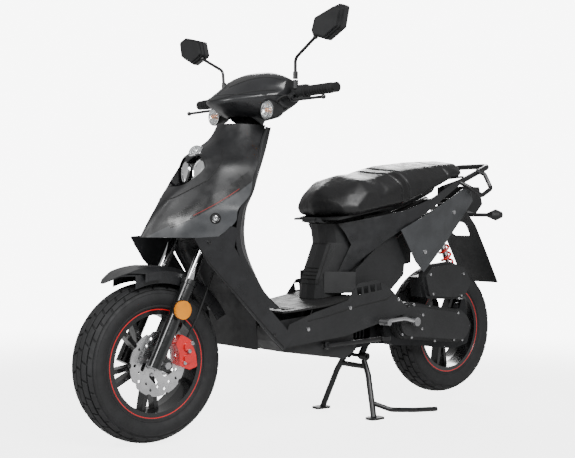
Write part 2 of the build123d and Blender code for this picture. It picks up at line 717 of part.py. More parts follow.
with BuildPart() as bar_cover_lower:
    add_cover(0, COVER_HALF)
    add_rod(steer_plane(18, 0, COLLAR_LOW), COLLAR_RADIUS, 60)
    cut_cover()
    add_rod(steer_plane(18, 0, COLLAR_LOW - 1), COLLAR_RADIUS - WALL, 120, mode=Mode.SUBTRACT)
    with BuildSketch(Plane.XY.offset(COVER_SPLIT_Z - FIT_GAP)) as upper_side:
        with Locations((BAR.X + 50, 0)):
            Rectangle(500, 500)
    extrude(upper_side.sketch, amount=200, mode=Mode.SUBTRACT)
    for side in (-1, 1):
        with BuildSketch(indicator_plane(side, 40)) as back:
            Circle(INDICATOR_RADIUS * 0.5)
        with BuildSketch(indicator_plane(side, 88)) as front:
            Circle(INDICATOR_RADIUS)
        loft([back.sketch.face(), front.sketch.face()])
        add_rod(indicator_plane(side, 88), INDICATOR_RADIUS, 7)
        add_rod(indicator_plane(side, 90), INDICATOR_RADIUS - 2.5, 6, mode=Mode.SUBTRACT)
save(bar_cover_lower, "bar_cover_lower")


with BuildPart() as indicator_lenses:
    for side in (-1, 1):
        with BuildSketch(indicator_plane(side, 90 + FIT_GAP)) as rim:
            Circle(INDICATOR_RADIUS - 2.5 - FIT_GAP)
        with BuildSketch(indicator_plane(side, 103)) as crown:
            Circle(INDICATOR_RADIUS * 0.55)
        loft([rim.sketch.face(), crown.sketch.face()])
save(indicator_lenses, "indicator_lenses")

# ---- Mirrors ---------------------------------------------------------------------------
MIRROR_PIVOT_Y = 288.0
MIRROR_PIVOT_Z = 1206.0
MIRROR_DEPTH = 34.0
MIRROR_BALL = 8.0
MIRROR_BEVEL = 10.0


def mirror_outline(side, inset):
    """Lozenge outline of a mirror head in (y, z), drawn inwards by an inset."""
    outer = MIRROR_SPAN / 2
    corners = [
        (outer - 146, MIRROR_HEIGHT - 27),
        (outer - 128, MIRROR_HEIGHT + 24),
        (outer - 26, MIRROR_HEIGHT + 50),
        (outer, MIRROR_HEIGHT + 40),
        (outer - 14, MIRROR_HEIGHT - 20),
        (outer - 78, MIRROR_HEIGHT - 50),
    ]
    centre_y = outer - 70
    shrink = 1 - inset / 52
    return [
        (side * (centre_y + (y - centre_y) * shrink), MIRROR_HEIGHT + (z - MIRROR_HEIGHT) * shrink)
        for y, z in corners
    ]


def add_lozenge(side, x, length, inset, mode=Mode.ADD):
    """Mirror outline extruded forward."""
    with BuildSketch(Plane(origin=(x, 0, 0), x_dir=(0, 1, 0), z_dir=(1, 0, 0))) as face:
        with BuildLine():
            Polyline(*mirror_outline(side, inset), close=True)
        make_face()
        fillet(face.vertices(), 9)
    extrude(face.sketch, amount=length, mode=mode)


def make_mirror_stem(side):
    """Bent stem from the clamp boss to the ball inside the mirror head."""
    base = BAR.Z + 38
    add_tube(
        [
            (BAR.X + 20, side * MIRROR_BASE_Y, base),
            (BAR.X + 24, side * (MIRROR_BASE_Y + 3), base + 62),
            (MIRROR_X + 6, side * MIRROR_PIVOT_Y, MIRROR_PIVOT_Z),
        ],
        24,
        5,
    )
    add_rod(Plane(origin=(BAR.X + 20, side * MIRROR_BASE_Y, base), z_dir=(0, 0, 1)), 8, 22)
    with Locations((MIRROR_X + 6, side * MIRROR_PIVOT_Y, MIRROR_PIVOT_Z)):
        Sphere(MIRROR_BALL)


with BuildPart() as mirror_stems:
    make_mirror_stem(1)
    make_mirror_stem(-1)
save(mirror_stems, "mirror_stems")

for side, side_name in ((1, "left"), (-1, "right")):
    with BuildPart() as mirror_head:
        add_lozenge(side, MIRROR_X - 12, MIRROR_DEPTH / 2, 0)
        add_lozenge(side, MIRROR_X - 12 + MIRROR_DEPTH / 2, MIRROR_DEPTH / 4, MIRROR_BEVEL / 2)
        add_lozenge(side, MIRROR_X - 12 + MIRROR_DEPTH * 0.75, MIRROR_DEPTH / 4, MIRROR_BEVEL)
        add_lozenge(side, MIRROR_X - 13, 5, 5, mode=Mode.SUBTRACT)
        ball = (MIRROR_X + 6, side * MIRROR_PIVOT_Y, MIRROR_PIVOT_Z)
        with Locations(ball):
            Sphere(MIRROR_BALL + FACE_GAP, mode=Mode.SUBTRACT)
        foot = (BAR.X + 24, side * (MIRROR_BASE_Y + 3), BAR.Z + 96)
        add_bar(ball, foot, 10, mode=Mode.SUBTRACT)
    save(mirror_head, f"{side_name}_mirror_head")

    with BuildPart() as mirror_glass:
        add_lozenge(side, MIRROR_X - 11.5, 3, 5 + FIT_GAP)
    save(mirror_glass, f"{side_name}_mirror_glass")

# ---- Brake hose -------------------------------------------------------------------------
HOSE_RADIUS = 3.5

with BuildPart() as brake_hose:
    add_tube(
        [
            (FRONT_X - 96, 64, FRONT_Z + 74),
            (FRONT_X - 118, 78, FRONT_Z + 128),
            (FRONT_X - 142, 86, FRONT_Z + 196),
            (FRONT_X - 172, 86, FRONT_Z + 268),
        ],
        70,
        HOSE_RADIUS,
    )
save(brake_hose, "brake_hose")

# ---- Frame --------------------------------------------------------------------------------
RAIL_Y = 104.0
CROSS_X = -60.0
TUBE_Z = 296.0
BRACKET_Y = 62.0
PIVOT_RADIUS = 8.0
SIDE_STAND_Y = 138.0
SIDE_STAND_STUB_GAP = 4.0

with BuildPart() as main_frame:
    add_rod(steer_plane(0, 0, HEAD_LOW), HEAD_TUBE_RADIUS, HEAD_LENGTH)
    neck = steer_point(-HEAD_TUBE_RADIUS + 4, 0, HEAD_LOW + 60)
    add_tube(
        [
            tuple(neck),
            (372, 0, 598),
            (356, 0, 530),
            (306, 0, 432),
            (240, 0, TUBE_Z),
            (CROSS_X, 0, TUBE_Z),
        ],
        30,
        FRAME_TUBE,
    )
    add_rod(steer_plane(0, 0, HEAD_LOW - 1), STEM_RADIUS + RUN_GAP, HEAD_LENGTH + 2, mode=Mode.SUBTRACT)
    add_rod(across(CROSS_X, -RAIL_Y, TUBE_Z), 15, 2 * RAIL_Y)
    for side in (-1, 1):
        add_tube(
            [
                (CROSS_X, side * RAIL_Y, TUBE_Z),
                (-150, side * RAIL_Y, 530),
                (-330, side * RAIL_Y, 640),
                (-660, side * (RAIL_Y - 14), 752),
            ],
            60,
            RAIL_TUBE,
        )
        bracket = [
            (CROSS_X + 14, TUBE_Z + 10),
            (CROSS_X - 14, TUBE_Z + 10),
            (SWING_X - 16, SWING_Z + 6),
            (SWING_X - 10, SWING_Z - 14),
            (SWING_X + 12, SWING_Z - 12),
        ]
        near = BRACKET_Y if side > 0 else -BRACKET_Y - 8
        add_plate(bracket, near, near + 8)
    add_rod(across(SWING_X, -BRACKET_Y - 10, SWING_Z), PIVOT_RADIUS, 2 * BRACKET_Y + 20)
    add_rod(across(-640, -RAIL_Y + 10, 744), 10, 2 * RAIL_Y - 20)
    top_x, top_z = SHOCK_TOP
    add_bar((top_x, SHOCK_Y + 21, 704), (top_x, SHOCK_Y + 21, top_z), 7)
    add_rod(across(top_x, SHOCK_Y - 14, top_z), SHOCK_PIN, 44)
    add_bar((SIDE_STAND_X, 0, TUBE_Z), (SIDE_STAND_X, SIDE_STAND_Y - SIDE_STAND_STUB_GAP, SIDE_STAND_Z), 10)
save(main_frame, "main_frame")

# ---- Front body -----------------------------------------------------------------------------
# Each level of the nose: height, then (x, y) from the centre line out to the rear edge.
NOSE_LEVELS = (
    (604, (672, 648, 575, 505), (0, 26, 95, 150)),
    (650, (645, 620, 558, 458), (0, 30, 108, 176)),
    (690, (618, 594, 533, 452), (0, 34, 118, 184)),
    (735, (590, 566, 500, 408), (0, 40, 124, 182)),
    (790, (563, 540, 468, 374), (0, 46, 120, 154)),
    (830, (545, 516, 440, 347), (0, 54, 112, 140)),
    (856, (518, 480, 400, 336), (0, 52, 100, 126)),
    (906, (418, 408, 368, 302), (0, 36, 74, 96)),
    (956, (384, 376, 336, 268), (0, 30, 60, 78)),
)
LAMP_Y = 34.0
LAMP_Z = 803.0
LAMP_X = 492.0
POCKET_HALF = 60.0
POCKET_TALL = 84.0


def nose_sections(inset, back, drop):
    """Plan outlines of the nose, pulled in by an inset and pushed back for the hollow."""
    sections = []
    for z, xs, ys in NOSE_LEVELS:
        half = [(x - inset * 1.4, max(y - inset, 0)) for x, y in zip(xs, ys)]
        half[-1] = (half[-1][0] - back, half[-1][1])
        level = z + (drop if z == NOSE_LEVELS[-1][0] else 0) - (drop if z == NOSE_LEVELS[0][0] else 0)
        sections.append((level, mirrored(half)))
    return sections


with BuildPart() as front_shield:
    add_levels(nose_sections(0, 0, 0))
    add_levels(nose_sections(WALL, 40, 1), mode=Mode.SUBTRACT)
    with BuildSketch(Plane.YZ.offset(LAMP_X - 22)) as pocket:
        with Locations((0, LAMP_Z)):
            RectangleRounded(2 * POCKET_HALF, POCKET_TALL, 20)
    extrude(pocket.sketch, amount=200, mode=Mode.SUBTRACT)
save(front_shield, "front_shield")

with BuildPart() as headlamp_housing:
    with BuildSketch(Plane.YZ.offset(LAMP_X - 20)) as face:
        with Locations((0, LAMP_Z)):
            RectangleRounded(2 * (POCKET_HALF - FIT_GAP), POCKET_TALL - 2 * FIT_GAP, 20)
    extrude(face.sketch, amount=14)
    with BuildSketch(Plane.YZ.offset(LAMP_X - 14)) as bowls:
        with Locations((-LAMP_Y, LAMP_Z), (LAMP_Y, LAMP_Z)):
            Ellipse(21, 32)
    extrude(bowls.sketch, amount=9, mode=Mode.SUBTRACT)
save(headlamp_housing, "headlamp_housing")

with BuildPart() as headlamp_lenses:
    with BuildSketch(Plane.YZ.offset(LAMP_X - 10)) as ovals:
        with Locations((-LAMP_Y, LAMP_Z), (LAMP_Y, LAMP_Z)):
            Ellipse(21 - FIT_GAP, 32 - FIT_GAP)
    extrude(ovals.sketch, amount=10)
save(headlamp_lenses, "headlamp_lenses")

# Knee side of the leg shield: height, side edge, knee wing and spine corner, each (x, y).
LEG_LEVELS = (
    (392, (330, 168), (262, 150), (254, 100)),
    (440, (362, 168), (324, 158), (283, 84)),
    (500, (396, 168), (368, 158), (306, 72)),
    (578, (450, 168), (422, 158), (328, 62)),
    (634, (444, 168), (420, 158), (336, 62)),
    (690, (446, 178), (420, 166), (330, 62)),
    (735, (402, 176), (380, 160), (312, 62)),
    (790, (368, 148), (346, 132), (290, 64)),
    (856, (330, 120), (308, 104), (262, 64)),
    (906, (296, 91), (278, 80), (242, 60)),
    (952, (262, 73), (246, 64), (224, 50)),
)
KEY_X = 268.0
KEY_Z = 880.0
KEY_Y = -44.0
KEY_RADIUS = 9.0


def leg_sections(inset, ahead):
    """Plan outlines of the leg shield's channel."""
    sections = []
    for z, edge, wing, spine in LEG_LEVELS:
        half = [(spine[0] + inset, spine[1] - inset), (wing[0] + inset, wing[1] - inset)]
        half.append((edge[0] + ahead, edge[1] - inset))
        sections.append((z, mirrored(half)))
    return sections


key_plane = Plane(origin=(KEY_X, KEY_Y, KEY_Z), x_dir=(0, 1, 0), z_dir=(-1, 0, 0.2))

with BuildPart() as leg_shield:
    add_levels(leg_sections(0, 0))
    add_levels(leg_sections(WALL, 60), mode=Mode.SUBTRACT)
    add_levels([(330, leg_sections(WALL, 60)[0][1]), (394, leg_sections(WALL, 60)[0][1])], mode=Mode.SUBTRACT)
    add_rod(key_plane, KEY_RADIUS + 5, 22)
    add_rod(key_plane.offset(-30), KEY_RADIUS + RUN_GAP, 60, mode=Mode.SUBTRACT)
save(leg_shield, "leg_shield")

with BuildPart() as ignition_key:
    add_rod(key_plane.offset(-14), KEY_RADIUS, 38)
    with BuildSketch(key_plane.offset(24)) as bow:
        RectangleRounded(26, 5, 2)
    extrude(bow.sketch, amount=24)
save(ignition_key, "ignition_key")

COVER_Y = 170.0

with BuildPart() as leg_side_covers:
    outline = [
        (600, 604),
        (552, 532),
        (416, 404),
        (318, 309),
        (262, 262),
        (222, 300),
        (331, 402),
        (456, 578),
        (446, 634),
        (470, 640),
        (506, 610),
    ]
    for side in (-1, 1):
        near = COVER_Y if side > 0 else -COVER_Y - WALL
        add_plate(outline, near, near + WALL, corner=4)
save(leg_side_covers, "leg_side_covers")

with BuildPart() as inner_fender:
    add_ribbon([(402, 566), (345, 440), (330, 340), (322, 262)], 60, WALL, 120)
save(inner_fender, "inner_fender")

FLOOR_RIBS = 7

with BuildPart() as floorboard:
    add_ribbon([(249, 373), (190, 376), (60, 388), (-78, 412)], 80, -6, FLOOR_WIDTH / 2 - 15)
    for rib in range(FLOOR_RIBS):
        with BuildSketch(Plane.XY.offset(376)) as bead:
            with Locations((150, (rib - (FLOOR_RIBS - 1) / 2) * 38)):
                SlotOverall(150, 8)
        extrude(bead.sketch, amount=8.5, taper=4)
save(floorboard, "floorboard")

with BuildPart() as belly_pan:
    outer = [(296, 330), (270, 286), (232, 251), (-25, 213), (-66, 232), (-70, 366), (60, 366), (240, 350)]
    inner = [(300, 420), (286, 330), (262, 292), (228, 256), (-24, 217), (-90, 246), (-90, 420)]
    add_plate(outer, -135, 135)
    add_plate(inner, -135 + WALL, 135 - WALL, mode=Mode.SUBTRACT)
    stay = (SIDE_STAND_X, SIDE_STAND_Y, SIDE_STAND_Z)
    add_bar((SIDE_STAND_X, 0, TUBE_Z), stay, 11, mode=Mode.SUBTRACT)
save(belly_pan, "belly_pan")

SKIRT_Y = 154.0
VENTS = 4

with BuildPart() as lower_side_covers:
    outline = [
        (256, 266),
        (228, 338),
        (120, 372),
        (-20, 404),
        (-66, 458),
        (-150, 468),
        (-212, 440),
        (-298, 372),
        (-288, 350),
        (-16, 290),
    ]
    for side in (-1, 1):
        near = SKIRT_Y if side > 0 else -SKIRT_Y - WALL
        add_plate(outline, near, near + WALL, corner=5)
    for vent in range(VENTS):
        x = -72 - vent * 30
        z = 432 + vent * 4
        slot = [(x + 8, z - 12), (x + 14, z + 12), (x - 8, z + 14), (x - 12, z - 10)]
        add_plate(slot, -SKIRT_Y - 9, SKIRT_Y + 9, mode=Mode.SUBTRACT)
save(lower_side_covers, "lower_side_covers")

# ---- Rear body ----------------------------------------------------------------------------------
POST_LEVELS = ((394, 24), (470, 16), (589, -34), (652, -22))
POST_BACK = -150.0
POST_HALF = 60.0  # half width at the front corners
POST_BACK_HALF = 84.0
LINER_Y = 121.0  # outer face of the dark liners behind the side covers
LINER_X = -88.0


def post_sections(inset, back):
    """Plan outlines of the cover below the front of the seat."""
    sections = []
    for z, front in POST_LEVELS:
        half = [(front - inset, 0), (front - 5 - inset, 34), (front - 22 - inset, POST_HALF - inset)]
        half.append((POST_BACK - back, POST_BACK_HALF - inset))
        sections.append((z, mirrored(half)))
    return sections


with BuildPart() as seat_post_cover:
    add_levels(post_sections(0, 0))
    add_levels(post_sections(WALL, 20), mode=Mode.SUBTRACT)
    under_floor = [(80, 392), (-78, 420.5), (-170, 436), (-170, 380), (80, 380)]
    add_plate(under_floor, -POST_BACK_HALF, POST_BACK_HALF, mode=Mode.SUBTRACT)
    recess = [(LINER_X, 420), (-230, 410), (-316, 480), (-322, 532), (-264, 634), (-200, 585), (LINER_X, 500)]
    for side in (-1, 1):
        near = LINER_Y - WALL if side > 0 else -LINER_Y
        add_plate(recess, near, near + WALL)
        link = [(-2, POST_HALF + 1), (LINER_X, LINER_Y), (LINER_X, LINER_Y - WALL), (-2, POST_HALF - 2)]
        with BuildSketch(Plane.XY.offset(424)) as wing:
            with BuildLine():
                Polyline(*[(x, side * y) for x, y in link], close=True)
            make_face()
        extrude(wing.sketch, amount=70)
save(seat_post_cover, "seat_post_cover")


def add_bowed(plan, outline, thickness):
    """Pair of side skins: a plan line (x, y) raised to full height, cut to an (x, z) outline."""
    for side in (-1, 1):
        outer = [(x, side * y) for x, y in plan]
        inner = [(x, side * (y - thickness)) for x, y in reversed(plan)]
        with BuildSketch(Plane.XY.offset(400)) as skin:
            with BuildLine():
                Polyline(*outer, *inner, close=True)
            make_face()
        extrude(skin.sketch, amount=500)
    add_plate(outline, -400, 400, mode=Mode.INTERSECT)


with BuildPart() as side_panels:
    add_bowed(
        [
            (-20, 71),
            (-51, 76),
            (-95, 90),
            (-150, 110),
            (-212, BODY_HALF - 28),
            (-300, BODY_HALF - 10),
            (-400, BODY_HALF),
            (-480, BODY_HALF - 8),
            (-640, 128),
        ],
        [
            (-42, 472),
            (-96, 583),
            (-48, 652),
            (-304, 704),
            (-548, 806),
            (-600, 806),
            (-389, 696),
            (-212, 594),
            (-145, 545),
            (-88, 492),
        ],
        WALL,
    )
save(side_panels, "side_panels")

with BuildPart() as tail_panels:
    add_bowed(
        [(-200, BODY_HALF), (-400, BODY_HALF + 2), (-560, BODY_HALF - 14), (-700, 118)],
        [(-262, 634), (-334, 528), (-376, 490), (-612, 690), (-676, 744), (-664, 780), (-606, 786)],
        WALL,
    )
save(tail_panels, "tail_panels")

MUDGUARD_HALF = 85.0
MUDGUARD_TIP_Z = 438.0

with BuildPart() as rear_mudguard:
    tip_x = -HALF_LENGTH + 3.4
    add_ribbon([(-664, 724), (-738, 652), (-800, 556), (tip_x, MUDGUARD_TIP_Z)], 60, -4, MUDGUARD_HALF)
    with BuildSketch(Plane(origin=(-742, 0, 640), x_dir=(0, 1, 0), z_dir=(-0.8, 0, 0.6))) as hole:
        RectangleRounded(84, 66, 14)
    extrude(hole.sketch, amount=60, both=True, mode=Mode.SUBTRACT)
save(rear_mudguard, "rear_mudguard")

RACK_TUBE = 10.0
LOOP_TUBE = 8.0

with BuildPart() as grab_rail:
    add_tube(
        [
            (-500, BODY_HALF - 28, 784),
            (-620, BODY_HALF - 48, 812),
            (-820, 78, 880),
            (-820, -78, 880),
            (-620, 48 - BODY_HALF, 812),
            (-500, 28 - BODY_HALF, 784),
        ],
        30,
        RACK_TUBE,
    )
    for side in (-1, 1):
        add_tube(
            [
                (-612, side * (BODY_HALF - 42), 810),
                (-636, side * (BODY_HALF - 12), 790),
                (-694, side * (BODY_HALF - 8), 764),
                (-752, side * (BODY_HALF - 12), 792),
                (-744, side * 120, 846),
                (-730, side * 92, 858),
            ],
            14,
            LOOP_TUBE,
        )
save(grab_rail, "grab_rail")

with BuildPart() as rear_lamps:
    lamp = [(-690, 800), (-786, 800), (-806, 736), (-770, 700), (-690, 716)]
    add_plate(lamp, -62, 62, corner=6)
    for side in (-1, 1):
        add_bar((-720, side * 66, 694), (-738, side * 152, 694), 7)
        stalk = Plane(origin=(-736, side * 146, 694), z_dir=(-0.05, side, 0))
        with BuildSketch(stalk) as root:
            Circle(9)
        with BuildSketch(stalk.offset(34)) as belly:
            Circle(21)
        loft([root.sketch.face(), belly.sketch.face()])
        with BuildSketch(stalk.offset(58)) as nose:
            Circle(12)
        loft([belly.sketch.face(), nose.sketch.face()])
save(rear_lamps, "rear_lamps")

BUCKET_HALF = 86.0
HINGE_X = 6.0  # seat hinge pin
HINGE_Z = 664.0
BUCKET_X = -156.0  # front wall of the storage bucket
PAN_X = HINGE_X - 22  # front edge of the seat pan

with BuildPart() as storage_bucket:
    outer = [(BUCKET_X, 678), (BUCKET_X - 8, 500), (-200, 486), (-388, 520), (-396, 700), (-304, 700)]
    inner = [(BUCKET_X - 3, 700), (BUCKET_X - 11, 503), (-200, 489), (-385, 523), (-393, 720)]
    add_plate(outer, -BUCKET_HALF, BUCKET_HALF)
    add_plate(inner, -BUCKET_HALF + WALL, BUCKET_HALF - WALL, mode=Mode.SUBTRACT)
    for side in (-1, 1):
        near = 30 if side > 0 else -38
        lug = [
            (BUCKET_X - 2, 612),
            (BUCKET_X - 2, HINGE_Z),
            (-60, HINGE_Z - 4),
            (PAN_X, HINGE_Z - 6),
            (HINGE_X - 8, HINGE_Z + 4),
            (HINGE_X + 4, HINGE_Z + 7),
            (HINGE_X + 8, HINGE_Z - 6),
            (-20, HINGE_Z - 11),
            (-44, HINGE_Z - 11),
        ]
        add_plate(lug, near, near + 8)
    add_rod(across(HINGE_X, -38, HINGE_Z), 4, 76)
save(storage_bucket, "storage_bucket")

# ---- Seat -----------------------------------------------------------------------------------------
SEAT_HALF = SEAT_WIDTH / 2
NOSE_X = PAN_X + 8  # lower front edge of the cushion
PAN_RISE = (725 - 672) / (NOSE_X + 304)  # slope of the cushion's underside
PAN_TAIL_RISE = (838 - 826) / (650 - 550)


def seat_outline(drop, pull):
    """Side outline of the cushion, lower and shorter towards its edges."""
    return [
        (NOSE_X - pull, 672 + pull * PAN_RISE),
        (NOSE_X + 18 - pull, 704),
        (NOSE_X - 10 - pull, 758 - drop * 0.5),
        (NOSE_X - 100, 813 - drop),
        (-190, 822 - drop),
        (-282, 852 - drop),
        (-450, 874 - drop),
        (-618 + pull, 886 - drop * 0.6),
        (-664 + pull, 852 - drop * 0.25),
        (-650 + pull, 838 - pull * PAN_TAIL_RISE),
        (-550, 826),
        (-304, 725),
    ]


with BuildPart() as seat_cushion:
    add_skin(
        [
            (-SEAT_HALF, seat_outline(62, 70)),
            (-SEAT_HALF * 0.78, seat_outline(22, 34)),
            (0, seat_outline(0, 0)),
            (SEAT_HALF * 0.78, seat_outline(22, 34)),
            (SEAT_HALF, seat_outline(62, 70)),
        ]
    )
save(seat_cushion, "seat_cushion")

with BuildPart() as seat_base:
    pan = [(PAN_X, 664), (PAN_X, 671), (-304, 724), (-550, 825), (-636, 835), (-636, 828), (-550, 818), (-304, 717)]
    add_plate(pan, -112, 112)
    add_plate([(PAN_X, 664), (PAN_X, 671.5), (HINGE_X, HINGE_Z + 9), (HINGE_X, HINGE_Z - 9)], -28, 28)
    add_rod(across(HINGE_X, -28, HINGE_Z), 9, 56)
    add_rod(across(HINGE_X, -40, HINGE_Z), 4 + RUN_GAP, 80, mode=Mode.SUBTRACT)
save(seat_base, "seat_base")

# ---- Engine unit --------------------------------------------------------------------------------------
CASE_IN = 66.0  # inner and outer faces of the drive case
CASE_OUT = 106.0
CVT_OUT = 150.0
DRIVE_X = -330.0  # front pulley shaft
DRIVE_Z = 322.0
KICK_Y = 158.0
KICK_PIN = 7.0
KICK_REACH = 178.0  # pedal from the kick shaft
STAND_PIN = 6.0
FINS = 6

with BuildPart() as engine_case:
    drive = [
        (-232, 300),
        (-282, 372),
        (-420, 378),
        (-560, 350),
        (-640, 352),
        (-700, 290),
        (-676, 222),
        (-600, 206),
        (-420, 228),
        (-280, 238),
    ]
    add_plate(drive, CASE_IN, CASE_OUT, corner=18)
    add_plate([(-214, 244), (-214, 372), (-378, 386), (-378, 236)], -82, CASE_IN, corner=8)
    add_bar((-220, 0, 306), (-96, 0, 300), 40)
    for fin in range(FINS):
        x = -198 + fin * 17
        with BuildSketch(Plane(origin=(x, 0, 305), x_dir=(0, 1, 0), z_dir=(1, 0, 0))) as plate:
            RectangleRounded(104, 92, 14)
        extrude(plate.sketch, amount=5)
    arm = [(-230, 238), (-230, 262), (SWING_X, SWING_Z + 14), (SWING_X, SWING_Z - 14)]
    add_plate(arm, -52, 52)
    add_rod(across(SWING_X, -56, SWING_Z), 16, 112)
    for side in (-1, 1):
        near = 24 if side > 0 else -34
        lug = [(-226, 250), (-250, 250), (STAND_X - 12, STAND_Z - 4), (STAND_X, STAND_Z - 13), (STAND_X + 12, STAND_Z)]
        add_plate(lug, near, near + 10)
    add_rod(across(STAND_X, -66, STAND_Z), STAND_PIN, 132)
    add_rod(across(SWING_X, -60, SWING_Z), PIVOT_RADIUS + RUN_GAP, 120, mode=Mode.SUBTRACT)
    low_x, low_z = SHOCK_LOW
    for near in (CASE_IN, CASE_OUT - 8):
        ear = [(low_x - 26, 306), (low_x + 26, 334), (low_x + 10, low_z + 9), (low_x - 10, low_z + 9)]
        add_plate(ear, near, near + 8)
    add_rod(across(low_x, CASE_IN, low_z), SHOCK_PIN, CASE_OUT - CASE_IN)
    add_rod(across(REAR_X, CASE_IN - 14, REAR_Z), 24, 20)
    add_rod(across(REAR_X, CASE_IN - 20, REAR_Z), AXLE_RADIUS + RUN_GAP, 80, mode=Mode.SUBTRACT)
save(engine_case, "engine_case")

def add_lid(y, trim, thickness):
    """Belt-case outline: two round ends joined by straight sides."""
    rear_x = REAR_X + 52
    rear_z = REAR_Z + 18
    with BuildSketch(across(0, y, 0)) as lid:
        with Locations((DRIVE_X, -DRIVE_Z)):
            Circle(64 - trim)
        with Locations((rear_x, -rear_z)):
            Circle(60 - trim)
        with BuildLine():
            Polyline(
                (DRIVE_X + 4, -DRIVE_Z - 64 + trim),
                (rear_x, -rear_z - 60 + trim),
                (rear_x, -rear_z + 60 - trim),
                (DRIVE_X + 4, -DRIVE_Z + 64 - trim),
                close=True,
            )
        make_face()
    extrude(lid.sketch, amount=thickness)


with BuildPart() as cvt_cover:
    step = (CVT_OUT - CASE_OUT) / 4
    add_lid(CASE_OUT + FIT_GAP, 0, 2 * step)
    add_lid(CASE_OUT + 2 * step, 5, step)
    add_lid(CASE_OUT + 3 * step, 12, step)
    add_rod(across(DRIVE_X, CVT_OUT - 20, DRIVE_Z), KICK_PIN + RUN_GAP, 40, mode=Mode.SUBTRACT)
save(cvt_cover, "cvt_cover")

with BuildPart() as kick_lever:
    add_rod(across(DRIVE_X, CVT_OUT - 18, DRIVE_Z), KICK_PIN, KICK_Y + 20 - CVT_OUT + 18)
    add_rod(across(DRIVE_X, KICK_Y + 2, DRIVE_Z), 15, 18)
    add_tube(
        [
            (DRIVE_X, KICK_Y + 12, DRIVE_Z),
            (DRIVE_X + 60, KICK_Y + 16, DRIVE_Z + 14),
            (DRIVE_X + KICK_REACH, KICK_Y + 24, DRIVE_Z + 8),
        ],
        60,
        7,
    )
    add_rod(across(DRIVE_X + KICK_REACH, KICK_Y + 20, DRIVE_Z + 8), 10, 40)
save(kick_lever, "kick_lever")

with BuildPart() as air_filter_box:
    box = [(-392, 478), (-430, 514), (-542, 524), (-620, 500), (-655, 450), (-622, 398), (-560, 388), (-420, 396)]
    add_plate(box, 118, 134, corner=14)
    lid = [(-402, 476), (-434, 506), (-542, 515), (-612, 494), (-644, 450), (-616, 406), (-558, 397), (-424, 404)]
    add_plate(lid, 134, 147, corner=14)
    add_plate([(-400, 470), (-470, 480), (-470, 400), (-410, 400)], 70, 118)
save(air_filter_box, "air_filter_box")

with BuildPart() as exhaust:
    add_tube(
        [
            (-153, -56, 284),
            (-158, -112, 266),
            (-320, -128, 236),
            (-440, -128, 300),
        ],
        24,
        13,
    )
    add_bar((-428, -128, 294), (-730, -128, 344), 48)
    add_bar((-436, -128, 295.3), (-722, -128, 342.7), 45, mode=Mode.SUBTRACT)
    add_bar((-725, -128, 343), (-752, -128, 347.5), 14)
    add_bar((-715, -128, 341.5), (-760, -128, 349), 11, mode=Mode.SUBTRACT)
save(exhaust, "exhaust")

# ---- Rear shock ---------------------------------------------------------------------------------------
SHOCK = Plane(
    origin=(SHOCK_TOP[0], SHOCK_Y, SHOCK_TOP[1]),
    x_dir=(0, 1, 0),
    z_dir=(SHOCK_LOW[0] - SHOCK_TOP[0], 0, SHOCK_LOW[1] - SHOCK_TOP[1]),
)
SHOCK_LENGTH = hypot(SHOCK_LOW[0] - SHOCK_TOP[0], SHOCK_LOW[1] - SHOCK_TOP[1])
SHOCK_TRAVEL = 65.0
SPRING_RADIUS = 22.0
ROD_RADIUS = 7.0
CUP_LOW = 236.0  # lower spring cup, down the shock
OPEN_PIVOT = 3.0  # clearance at the lower pin

with BuildPart() as shock_body:
    add_rod(SHOCK.offset(10), 11, 118)
    add_rod(SHOCK.offset(14), SPRING_RADIUS + 2, 8)
    add_rod(across(SHOCK_TOP[0], SHOCK_Y - 12, SHOCK_TOP[1]), 13, 24)
    add_rod(across(SHOCK_TOP[0], SHOCK_Y - 16, SHOCK_TOP[1]), SHOCK_PIN + RUN_GAP, 60, mode=Mode.SUBTRACT)
    add_rod(SHOCK.offset(30), ROD_RADIUS + RUN_GAP, 200, mode=Mode.SUBTRACT)
save(shock_body, "shock_body")

with BuildPart() as shock_rod:
    add_rod(SHOCK.offset(30 + SHOCK_TRAVEL + 4), ROD_RADIUS, SHOCK_LENGTH - 34 - SHOCK_TRAVEL)
    add_rod(SHOCK.offset(CUP_LOW), SPRING_RADIUS + 2, 6)
    add_rod(across(SHOCK_LOW[0], SHOCK_Y - 8, SHOCK_LOW[1]), SHOCK_PIN + OPEN_PIVOT + 5, 16)
    add_rod(across(SHOCK_LOW[0], SHOCK_Y - 12, SHOCK_LOW[1]), SHOCK_PIN + OPEN_PIVOT, 24, mode=Mode.SUBTRACT)
save(shock_rod, "shock_rod")

with BuildPart() as shock_spring:
    add_ring(SHOCK.offset(22 + FIT_GAP), SPRING_RADIUS, SPRING_RADIUS - 7, CUP_LOW - 22 - 2 * FIT_GAP)
save(shock_spring, "shock_spring")

# ---- Stands ---------------------------------------------------------------------------------------------
LEG_TUBE = 10.0
FOOT_THICKNESS = 7.0
TANG_Y = 168.0

